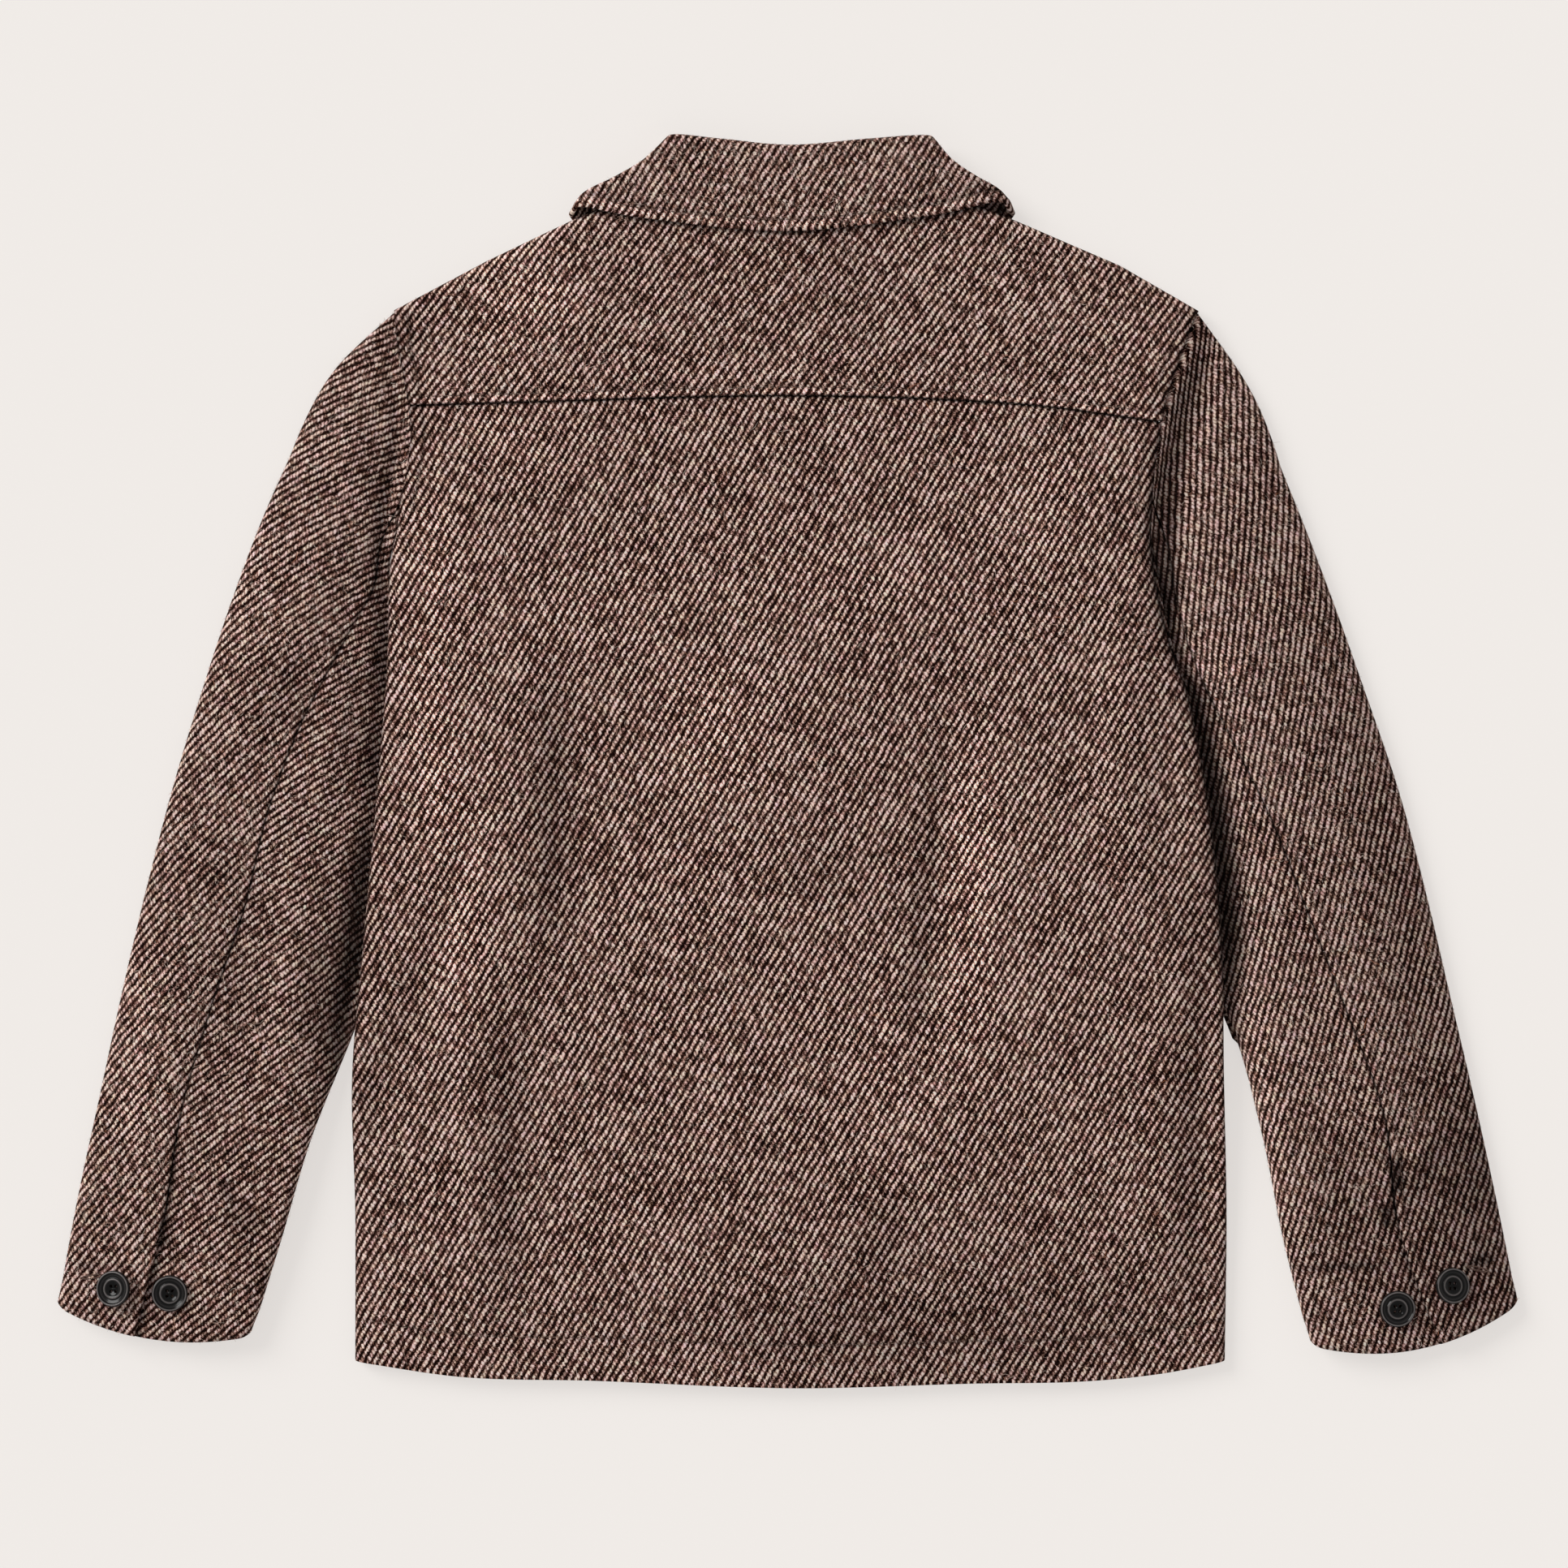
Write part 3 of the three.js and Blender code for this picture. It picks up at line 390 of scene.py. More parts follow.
def sewn(x, y):
    """What seams, hem and creases add to the back's plain height."""
    from_hem = y - hem_y(x)
    above_yoke = y - yoke_y(x)
    from_side = side_distance(x, y)
    height = folded(body_creases, x, y) * smoothstep(from_side, 0, 20)
    height = height + hem_ridge * (1 - smoothstep(from_hem, hem_stitch, hem_stitch + 5))
    height = height + groove(from_hem, hem_stitch, 1.7, hem_groove)
    on_yoke = above_yoke > 0
    seam_ridge = yoke_ridge * smoothstep(above_yoke, -0.5, 1.2) * (1 - smoothstep(above_yoke, 9, 24))
    seam_dip = np.where(on_yoke, 0, groove(above_yoke, 0, 2.6, yoke_dip))
    height = height + np.where(on_yoke, seam_ridge, 0) + seam_dip
    height = height + groove(above_yoke, yoke_stitch, 1.4, yoke_groove)
    at_armhole = smoothstep(y, armpit_y - 4, armpit_y + 12) * (1 - smoothstep(y, 288, 300))
    ridge = armhole_ridge * (1 - smoothstep(from_side, armhole_stitch - 2, armhole_stitch + 4))
    return height + at_armhole * (ridge + groove(from_side, armhole_stitch, 1.7, armhole_groove))


def body_fold(x, y):
    """The heights of back and front, their middle, and how flat the cloth is: 0 in a fold, 1 away from it."""
    level, base = back_level(x, y), front_base(x, y)
    half = (level - base) / 2
    radius = np.minimum(fold_radius, half**2 / (tightest_fold * solid_cloth))
    from_side = side_distance(x, y)
    side_holds = 1 - smoothstep(y, armpit_y, armpit_y + 30)
    from_shoulder = (shoulder_y(x) - y) * shoulder_slope
    shoulder_holds = smoothstep(np.abs(x - centre_x), neck_half - 3, neck_half + 12)
    side = 1 - side_holds * (1 - turned(from_side, radius))
    shoulder = 1 - shoulder_holds * (1 - turned(from_shoulder, radius))
    return level, base, (level + base) / 2, side * shoulder


def back_height(x, y):
    level, _, middle, flat = body_fold(x, y)
    return lerp(middle, level, flat)


def front_height(x, y):
    _, base, middle, flat = body_fold(x, y)
    below_armpit = near(y, armpit_y - 18, 24)
    return lerp(middle - fold_gap * (1 + 1.5 * below_armpit), base, flat)


def overlap_rise(x):
    return (solid_cloth + 0.6) * smoothstep(x, centre_x - strip_half, centre_x - overlap - 5)


def stack(x, y, z):
    return np.stack(np.broadcast_arrays(x, y, z), axis=-1).astype(float)


def dressed(x, y):
    """The height of the back's cloth with its seams and creases."""
    level, _, middle, flat = body_fold(x, y)
    return lerp(middle, level, flat) + sewn(x, y) * smoothstep(flat, 0.2, 1)


def body_surface(lower, upper, left_levels, right_levels):
    """The back's cloth between two lines, with the levels of its corners on the left and on the right."""
    def surface(u, v):
        x = lerp(left_edge(lerp(*left_levels, v)), right_edge(lerp(*right_levels, v)), u)
        y = lerp(lower(x), upper(x), v)
        edged = np.clip(x, left_edge(y), right_edge(y))
        return stack(edged, y, dressed(edged, y))

    return surface


yoke_gap = 0.1
back_surface = body_surface(
    hem_y, lambda x: yoke_y(x) - yoke_gap, (hem_level_y, yoke_level_y), (hem_level_y, yoke_right_y),
)
yoke_surface = body_surface(
    lambda x: yoke_y(x) + yoke_gap, shoulder_y,
    (yoke_level_y, shoulder_level_y), (yoke_right_y, shoulder_right_y),
)


def front_surface(sign, rise):
    edge = left_edge if sign < 0 else right_edge
    strip, inner = centre_x + sign * strip_half, centre_x - sign * overlap

    def surface(u, v):
        side = edge(lerp(hem_level_y, shoulder_level_y, v))
        past_strip = (u - strip_place) / (1 - strip_place)
        x = np.where(u < strip_place, lerp(side, strip, u / strip_place), lerp(strip, inner, past_strip))
        out = np.abs(x - centre_x)
        top = np.where(out < neck_half, front_neck_y(out), shoulder_y(x))
        y = lerp(hem_y(x), top, v)
        return stack(x, y, front_height(x, y) + rise(x))

    return surface


# Shares of the sleeve's length: the armhole's and the cap's reach, and where the cuff's bow and corners start
armhole_reach, cap_reach, bow_from, corner_from = 0.16, 0.17, 0.75, 0.97
sleeve_turn, inner_turn, swell_reach = 7, 5.5, 58
sleeve_dip_at_back = 0.4


def sleeve_plan(sleeve, across, v):
    """Where a point of the sleeve lies in the plan, across from its inner fold and on from the armhole."""
    sign = sleeve["sign"]
    x = lerp(sleeve["inner_x"](v), sleeve["outer_x"](v), across)
    y = lerp(sleeve["inner_y"](v), sleeve["outer_y"](v), across)
    at_armhole = 1 - smoothstep(v, 0, armhole_reach)
    seam_x = sleeve["edge"](y) + sign * armhole_gap
    straight_x = lerp(sleeve["inner_x"](0), sleeve["outer_x"](0), across)
    straight_y = lerp(sleeve["inner_y"](0), sleeve["outer_y"](0), across)
    x = x + at_armhole * (sleeve["edge"](straight_y) + sign * armhole_gap - straight_x)
    clear = np.where(y > 90, (seam_x - x) * sign, 0)
    x = x + sign * np.maximum(clear, 0)
    bow = sleeve["cuff_bow"] * 4 * across * (1 - across) * smoothstep(v, bow_from, 1)
    from_corner = np.minimum(across, 1 - across) * sleeve_width(sleeve, v)
    corner = cuff_corner * (1 - turned(from_corner, 2 * cuff_corner)) * smoothstep(v, corner_from, 1)
    cap = sleeve["cap"] * across**2 * np.sin(np.pi * np.clip(v / cap_reach, 0, 1))
    return x + sign * (bow * 0.2 + cap * 0.8), y - bow + corner + cap * 0.5


def sleeve_width(sleeve, v):
    return np.hypot(sleeve["outer_x"](v) - sleeve["inner_x"](v), sleeve["outer_y"](v) - sleeve["inner_y"](v))


def sleeve_section(sleeve, across, v):
    x, y = sleeve_plan(sleeve, across, v)
    width = sleeve_width(sleeve, v)
    outer_fold = (1 - across) * width * lerp(0.7, 1, smoothstep(v, 0, 0.25))
    clear_of_body = (x - sleeve["edge"](y)) * sleeve["sign"]
    turn = turned(outer_fold, sleeve_turn) * turned(across * width, inner_turn)
    return x, y, outer_fold, clear_of_body, turn, 1 - smoothstep(v, 0, 0.05)


def sleeve_sewn(sleeve, across, v, x, y, clear_of_body):
    """What the back seam, the cuff's turning and the creases add to the sleeve."""
    width = sleeve_width(sleeve, v)
    from_seam = (across - sleeve["seam"](v)) * width
    open_here = smoothstep(clear_of_body, 2, 14)
    ridge = sleeve_ridge * near(from_seam, 2.6, 3.4) * (from_seam > 0)
    dip = groove(from_seam, 0, 1.5, sleeve_dip)
    cuff = cuff_ridge * smoothstep(v, vent["runs"], vent["runs"] + 0.01)
    near_fold = turned((1 - across) * width, 12) * turned(across * width, 12)
    creases = folded(sleeve_creases, x, y)
    by_body = groove(np.maximum(clear_of_body, 0), 0, 8, body_valley) * smoothstep(v, 0.03, 0.12)
    return (ridge + dip + creases) * open_here * near_fold + cuff * near_fold + by_body


def sleeve_top(sleeve, across, v):
    x, y, outer_fold, clear_of_body, turn, at_armhole = sleeve_section(sleeve, across, v)
    swell = np.sin((np.pi / 2) * np.clip(outer_fold / swell_reach, 0, 1)) * smoothstep(clear_of_body, 3, 38)
    crown = (sleeve["crown"](v) - sleeve_low) * swell + folded(sleeve_folds, x, y) * swell
    z = (sleeve_low / 2) * (1 + turn) + crown + sleeve_sewn(sleeve, across, v, x, y, clear_of_body)
    seam_x = sleeve["edge"](y) - sleeve["sign"] * 0.01
    return stack(x, y, lerp(z, back_height(seam_x, y) - sleeve_dip_at_back, at_armhole))


def sleeve_bottom(sleeve, across, v):
    x, y, _, _, turn, at_armhole = sleeve_section(sleeve, across, v)
    seam_x = sleeve["edge"](y) - sleeve["sign"] * 0.01
    return stack(x, y, lerp((sleeve_low / 2) * (1 - turn), front_height(seam_x, y), at_armhole))


def panel_gap(v):
    """Half the gap between the sleeve's two pieces at their seams, as a share of the width."""
    return lerp(0.0135, 0.001, smoothstep(v, 0, 0.12))


def under_seam(sleeve, v):
    """Where the under sleeve starts, which is beneath the flap at the vent."""
    beneath = (vent["under"] / sleeve_width(sleeve, v)) * smoothstep(v, vent["slides"], vent["runs"])
    return sleeve["seam"](v) - panel_gap(v) + beneath


def chosen(condition, first, second):
    return np.where(condition[..., None], first, second)


def top_sleeve_surface(sleeve):
    def surface(u, v):
        gap = panel_gap(v)
        above = sleeve_top(sleeve, lerp(sleeve["seam"](v) + gap, 1, np.minimum(u, 1)), v)
        below = sleeve_bottom(sleeve, lerp(1, front_seam + gap, np.maximum(u, 1) - 1), v)
        return chosen(u <= 1, above, below)

    return surface


def under_sleeve_surface(sleeve):
    def surface(u, v):
        across = lerp(under_seam(sleeve, v), 0, np.minimum(u, 1))
        from_flap = (sleeve["seam"](v) - across) * sleeve_width(sleeve, v)
        opened = smoothstep(v, vent["opens"] - 0.06, vent["opens"])
        drop = vent["drop"] * opened * (1 - smoothstep(from_flap, 2, 34))
        above = sleeve_top(sleeve, across, v)
        above[..., 2] -= drop
        below = sleeve_bottom(sleeve, lerp(0, front_seam - panel_gap(v), np.maximum(u, 1) - 1), v)
        return chosen(u <= 1, above, below)

    return surface


def collar_plan(kind, u):
    """The roll's or the edge's line: 0 to 1 along the back, and past either end on the leaf beneath."""
    back_x, back_y = along(collar_back, kind + "_x"), along(collar_back, kind + "_y")
    out, y = along(collar_front, kind + "_out"), along(collar_front, kind + "_y")
    inside = np.clip(u, 0, 1)
    t = np.clip(np.maximum(-u, u - 1), 0, 1)
    side = np.where(u < 0.5, -1, 1)
    x = back_x(inside) + side * (out(t) - out(0.0))
    return x, back_y(inside) + y(t) - y(0.0)


def roll_plan(u):
    return collar_plan("roll", u)


def edge_plan(u):
    return collar_plan("edge", u)


def end_distance(start_plan, end_plan, u, v, x, y):
    """How far a point of the collar lies from the fold at its end."""
    side = np.where(u < 0.5, 0.0, 1.0)
    (start_x, start_y), (end_x, end_y) = start_plan(side), end_plan(side)
    return np.hypot(x - lerp(start_x, end_x, v), y - lerp(start_y, end_y, v))


def collar_side(u, distance, radius):
    return np.where((u >= 0) & (u <= 1), 1, -1) * turned(distance, radius)


def between(back, front, u, distance, radius):
    """From the back's height to the front's, round an end fold of the collar."""
    return (back + front) / 2 + ((back - front) / 2) * collar_side(u, distance, radius)


def stand_rise(u, x):
    return np.where(u < 0, overlap_rise(x), 0)


def roll_height(u, distance, x):
    """The roll's height, which falls from the back's level to the front's round the end fold."""
    back = (roll_top + neck_level - solid_cloth) / 2
    front = (leaf_lift + solid_cloth + stand_rise(u, x)) / 2
    return between(back, front, u, distance, end_turn)


# The collar's end folds, its roll and the stand's end folds: how far in each turns level
end_turn, roll_turn, stand_turn = 10, 3.6, 8

# How far and which way the end folds stray from a straight line, from the roll to the tip
bow_reach, bow_across, bow_up = 22, 0.67, 0.74
collar_bow = curve((0, 0.3, 0.6, 0.86, 1), (0, -2.4, 0.4, 4.2, 0.6))


def fall_surface(u, v):
    (roll_x, roll_y), (edge_x, edge_y) = roll_plan(u), edge_plan(u)
    x, y = lerp(roll_x, edge_x, v), lerp(roll_y, edge_y, v)
    distance = end_distance(roll_plan, edge_plan, u, v, x, y)
    bow = collar_bow(v) * near(distance, 0, bow_reach)
    x, y = x + np.where(u < 0.5, -bow_across, bow_across) * bow, y + bow_up * bow
    top = lerp(roll_top, collar_top, smoothstep(v, 0, 0.5))
    level = between(top, 0, u, distance, end_turn)
    length = np.hypot(roll_x - edge_x, roll_y - edge_y)
    z = lerp(roll_height(u, distance, x), level, turned(length * v, roll_turn))
    from_edge = length * (1 - v)
    on_back = np.where((u >= 0) & (u <= 1), turned(distance, 14), 0)
    edge_ridge = collar_ridge * (1 - smoothstep(from_edge, 5, 11))
    edge_ridge = edge_ridge + groove(from_edge, collar_stitch, 1.6, collar_groove)
    return stack(x, y, z + on_back * edge_ridge)


def neck_plan(u):
    inside = np.clip(u, 0, 1)
    x = lerp(centre_x - neck_half + 1, centre_x + neck_half - 1, inside)
    t = np.clip(np.maximum(-u, u - 1), 0, 1)
    out = lerp(neck_half - 1, 7, t)
    on_back = (u >= 0) & (u <= 1)
    front_x = centre_x + np.where(u < 0, -out, out)
    y = np.where(on_back, shoulder_y(x) + neck_gap, front_neck_y(out) + front_neck_gap)
    return np.where(on_back, x, front_x), y


def stand_surface(u, v):
    neck_x, neck_y = neck_plan(u)
    roll_x, roll_y = roll_plan(u)
    roll_x = lerp(centre_x, roll_x, stand_inset)
    t = roll_gap / np.hypot(roll_x - neck_x, roll_y - neck_y)
    roll_x, roll_y = lerp(roll_x, neck_x, t), lerp(roll_y, neck_y, t)
    x, y = lerp(neck_x, roll_x, v), lerp(neck_y, roll_y, v)
    distance = end_distance(neck_plan, roll_plan, u, v, x, y)
    back, front = neck_level - solid_cloth, leaf_lift + solid_cloth + stand_rise(u, x)
    level = between(back, front, u, distance, stand_turn)
    down = np.hypot(neck_x - roll_x, neck_y - roll_y) * (1 - v)
    at_roll = roll_height(u, distance, x) - roll_gap * collar_side(u, distance, stand_turn)
    return stack(x, y, lerp(at_roll, level, turned(down, roll_turn)))


def flipped(surface, span):
    return lambda u, v: surface(span - u, v)


def spaced(start, end, step, *marks):
    """Places from start to end about a step apart, closer round each mark (place, half span, finer step)."""
    places = list(np.linspace(start, end, max(2, int(round((end - start) / step)) + 1)))
    for at, half, finer in marks:
        places = [p for p in places if abs(p - at) > half]
        low, high = max(start, at - half), min(end, at + half)
        places += list(np.linspace(low, high, max(2, int(round((high - low) / finer)) + 1)))
    return np.unique(np.round(places, 7))


def mesh_object(name, points, faces, smooth=True):
    mesh = bpy.data.meshes.new(name)
    mesh.from_pydata(points, [], faces)
    mesh.polygons.foreach_set("use_smooth", np.full(len(mesh.polygons), smooth))
    mesh.update()
    made = bpy.data.objects.new(name, mesh)
    scene.collection.objects.link(made)
    return made


def add_layer(made, name, places):
    """A layer of places on the mesh, from one place for each of its points."""
    layer = made.data.uv_layers.new(name=name)
    corners = np.empty(len(made.data.loops), dtype=np.int64)
    made.data.loops.foreach_get("vertex_index", corners)
    layer.data.foreach_set("uv", places[corners].astype(np.float32).ravel())


def add_values(made, name, values):
    """A layer that holds one value for each of the mesh's points, as the places' first part."""
    add_layer(made, name, np.stack([values, np.full(len(values), 0.5)], 1))


def surface_normal(surface, u, v, span_u, span_v):
    step = 1e-4
    u0, v0 = np.clip(u, span_u[0], span_u[1] - step), np.clip(v, span_v[0], span_v[1] - step)
    corner = surface(u0, v0)
    normal = np.cross(surface(u0 + step, v0) - corner, surface(u0, v0 + step) - corner)
    return normal / np.maximum(np.linalg.norm(normal, axis=-1, keepdims=True), 1e-12)


def panel(name, surface, across, lengthwise, flat_of, shade_of, round_rim=(), wall=cloth):
    """A shell of cloth whose outer face is the surface. flat_of gives its points' places on the flat cloth,
    in mm, and shade_of the painted shade that multiplies the wool's colour there: below 1 in seams, creases
    and valleys, above 1 for painted light on crests and lips.
    round_rim names the edges whose rim is rounded: bottom, right, top or left, as the surface runs."""
    u, v = np.meshgrid(across, lengthwise)
    outer = surface(u, v)
    normal = surface_normal(surface, u, v, (across[0], across[-1]), (lengthwise[0], lengthwise[-1]))
    inner = outer - wall * normal
    inner[..., 2] = np.maximum(inner[..., 2], 0)
    flat = flat_of(outer, u)
    shade = np.broadcast_to(shade_of(outer, u, v), u.shape)
    rows, columns = u.shape
    count = rows * columns
    index = np.arange(count).reshape(rows, columns)
    a, b = index[:-1, :-1].ravel(), index[:-1, 1:].ravel()
    c, d = index[1:, 1:].ravel(), index[1:, :-1].ravel()
    faces = [np.stack([a, b, c, d], 1), np.stack([d, c, b, a], 1) + count]
    points = [outer.reshape(-1, 3), inner.reshape(-1, 3)]
    flats = [flat.reshape(-1, 2), flat.reshape(-1, 2)]
    shades = [shade.ravel(), shade.ravel()]
    side = np.concatenate([
        np.full(columns - 1, 0), np.full(rows - 1, 1), np.full(columns - 1, 2), np.full(rows - 1, 3),
    ])
    rim = np.concatenate([index[0, :-1], index[:-1, -1], index[-1, :0:-1], index[:0:-1, 0]])
    inwards = np.concatenate([
        (outer[1] - outer[0])[:-1], (outer[:, -2] - outer[:, -1])[:-1],
        (outer[-2] - outer[-1])[:0:-1], (outer[:, 1] - outer[:, 0])[:0:-1],
    ])
    away = -inwards / np.maximum(np.linalg.norm(inwards, axis=1, keepdims=True), 1e-9)
    rounded = np.isin(side, [("bottom", "right", "top", "left").index(name) for name in round_rim])
    rounded = (rounded & np.roll(rounded, 1)) | (rounded & np.isin(side, [0, 2]))
    ring = rim
    total = 2 * count
    rim_out, rim_in = outer.reshape(-1, 3)[rim], inner.reshape(-1, 3)[rim]
    rim_flat = flat.reshape(-1, 2)[rim]
    for angle in (45, 90, 135):
        lean = math.radians(angle)
        between = lerp(rim_out, rim_in, (1 - math.cos(lean)) / 2)
        bulge = away * (wall / 2) * math.sin(lean) * np.where(rounded, 1.0, 0.0)[:, None]
        points.append(between + bulge)
        flats.append(rim_flat)
        shades.append(shade.ravel()[rim])
        following = np.arange(len(rim)) + total
        faces.append(np.stack([np.roll(ring, -1), ring, following, np.roll(following, -1)], 1))
        ring = following
        total += len(rim)
    last = rim + count
    faces.append(np.stack([np.roll(ring, -1), ring, last, np.roll(last, -1)], 1))
    made = mesh_object(name, (np.concatenate(points) / 1000).tolist(), np.concatenate(faces).tolist())
    add_layer(made, "Flat", np.concatenate(flats) / 1000)
    # The Shade layer holds the painted shade and painted light for the wool's colour
    add_values(made, "Shade", np.concatenate(shades))
    return made


def straight(rows, by, name):
    places, values = [row[by] for row in rows], [row[name] for row in rows]
    return lambda place: np.interp(place, places, values)


# The most that painted shade takes from the wool's colour
darkest = 0.85


def lined(*lines):
    """Painted shade in soft lines, and painted light where the depth is below zero: each has a distance, the
    line's place on it, its half width and its depth.
    """
    return sum(depth * near(distance, at, half_width) for distance, at, half_width, depth in lines)


# Painted shade in the yoke seam, the stitch lines, along the side and armhole edges, widest down the right
# edge, and under the collar's edge, with a painted highlight on the yoke's lip and the folds' painted shade
# and light
def body_shade(points, u, v):
    x, y = points[..., 0], points[..., 1]
    above_yoke = y - yoke_y(x)
    from_side = side_distance(x, y)
    at_armhole = smoothstep(y, armpit_y - 4, armpit_y + 12)
    below_collar = np.interp(x, collar_xs, collar_ys) - y
    dark = lined(
        (above_yoke, -0.2, 1.0, 0.55), (above_yoke, yoke_stitch, 1.1, 0.22), (above_yoke, 2.6, 1.7, -0.28),
        (y - hem_y(x), hem_stitch, 1.3, 0.3), (from_side, 0, 2.0, 0.5 * at_armhole),
        (from_side, armhole_stitch, 1.3, 0.3 * at_armhole), (from_side, 0, 1.6, 0.5 * (1 - at_armhole)),
        (right_edge(y) - x, 0, 7, 0.5 * smoothstep(y, -150, -120)),
        (below_collar, 0, 3.0, 0.9 * (np.abs(x) < 146)),
    )
    return 1 - np.minimum(dark + folded(body_painted_shading, x, y), darkest)


def plain_shade(points, u, v):
    return 1.0


# Painted shade along the fronts' side edges, where they lie under the back's edge
def front_shade(points, u, v):
    x, y = points[..., 0], points[..., 1]
    return 1 - darkest * near(side_distance(x, y), 0, 6)


# Painted shade in the stitch groove near the collar's edge and over its right end, and a painted highlight on
# the edge's lip
def collar_shade(points, u, v):
    x = points[..., 0]
    to_right = 0.18 * smoothstep(x, 70, 130) + 0.35 * smoothstep(x, 118, 140) * smoothstep(v, 0.6, 0.9)
    return 1 - 0.4 * near(v, 0.885, 0.018) + 0.32 * near(v, 0.955, 0.03) - to_right


# Painted shade in the valley beside the body, in the creases, along the back seam and its stitches and in the
# vent's slit, with painted light on the seam's lip and on some crests
def sleeve_shade(sleeve, under):
    def shade(points, u, v):
        turned_u = 2 - u if (sleeve["sign"] > 0) != under else u
        on_top = turned_u <= 1
        seam = sleeve["seam"](v)
        starts_at, ends_at = (under_seam(sleeve, v), 0) if under else (seam + panel_gap(v), 1)
        across = lerp(starts_at, ends_at, np.minimum(turned_u, 1))
        from_seam = (across - seam) * sleeve_width(sleeve, v)
        x, y = points[..., 0], points[..., 1]
        clear = (x - sleeve["edge"](y)) * sleeve["sign"]
        rows, names = sleeve["valley"], ("depth", "starts", "ends")
        deep, starts, ends = (straight(rows, "y", name)(y) for name in names)
        in_valley = smoothstep(clear, starts - 3, starts + 3) * (1 - smoothstep(clear, ends - 6, ends + 8))
        dark = deep * in_valley + folded(sleeve_painted_shading, x, y) + lined(
            (from_seam, 0, 1.2, 0.5), (from_seam, sleeve_stitch, 1.2, 0.12), (from_seam, 2.6, 1.6, -0.12),
        )
        if under:
            dark = dark + 0.6 * (from_seam > -0.5) * smoothstep(v, vent["opens"], vent["slides"])
        return 1 - np.where(on_top, np.minimum(dark, darkest), 0)

    return shade


def cumulative(steps, axis):
    total = np.cumsum(steps, axis=axis)
    zero = np.zeros_like(np.take(total, [0], axis=axis))
    return np.concatenate([zero, total], axis=axis)


def climbed(points, axis):
    """How much longer the cloth is than its plan, up to each point along one way of the sheet."""
    steps = np.diff(points, axis=axis)
    return cumulative(np.linalg.norm(steps, axis=2) - np.hypot(steps[..., 0], steps[..., 1]), axis)


def body_flat(points, u):
    """The body's cloth lies along X and Y. Across, it is measured round its folds from the centre line."""
    run = cumulative(np.linalg.norm(np.diff(points[..., [0, 2]], axis=1), axis=2), 1)
    middle = np.argmin(np.abs(points[..., 0] - centre_x), axis=1)
    start = np.take_along_axis(run, middle[:, None], 1)
    middle_x = np.take_along_axis(points[..., 0], middle[:, None], 1)
    return np.stack([run - start + middle_x, points[..., 1]], axis=-1)


def under_flat(points, u):
    return np.stack([-points[..., 0], points[..., 1]], axis=-1)


def sleeve_flat(sleeve):
    """A sleeve's cloth runs along a line that leans as its grain does, and is measured out from that line
    on the side that shows, then on round the fold."""
    line_y = np.linspace(-420, 320, 149)
    lean = np.radians(column(sleeve["grain"], "y", "lean")(line_y))
    line_x = cumulative(np.diff(line_y) / np.tan(lean[:-1]), 0)
    line_x = line_x - np.interp(-350, line_y, line_x) + sleeve["grain_x"]
    line_run = cumulative(np.hypot(np.diff(line_x), np.diff(line_y)), 0)

    def flat(points, u):
        x, y = points[..., 0], points[..., 1]
        nearest = np.argmin((x[..., None] - line_x) ** 2 + (y[..., None] - line_y) ** 2, axis=-1)
        off_x, off_y = x - line_x[nearest], y - line_y[nearest]
        ahead_x, ahead_y = np.cos(lean[nearest]), np.sin(lean[nearest])
        out = off_x * ahead_y - off_y * ahead_x
        fold = np.argmin(np.abs(u[0] - 1))
        shows = points[:, :, 2] >= points[:, fold:fold + 1, 2]
        out = np.where(shows, out, 2 * out[:, fold:fold + 1] - out)
        risen = climbed(points, 1)
        out = out - (risen - risen[:, fold:fold + 1])
        return np.stack([out, line_run[nearest] + off_x * ahead_x + off_y * ahead_y], axis=-1)

    return flat


def collar_flat(points, u):
    """The collar's cloth lies along X and Y, and is measured on up its roll and round its end folds."""
    x, y = points[..., 0], points[..., 1]
    across, down = climbed(points, 1), climbed(points, 0)
    middle = points.shape[1] // 2
    heading = np.sign(x[0, middle + 1] - x[0, middle])
    return np.stack([x + heading * (across - across[:, middle:middle + 1]), y + down[-1:] - down], axis=-1)


# Materials
button = {"radius": 11.5, "hole": 0.95, "hole_out": 2.3}


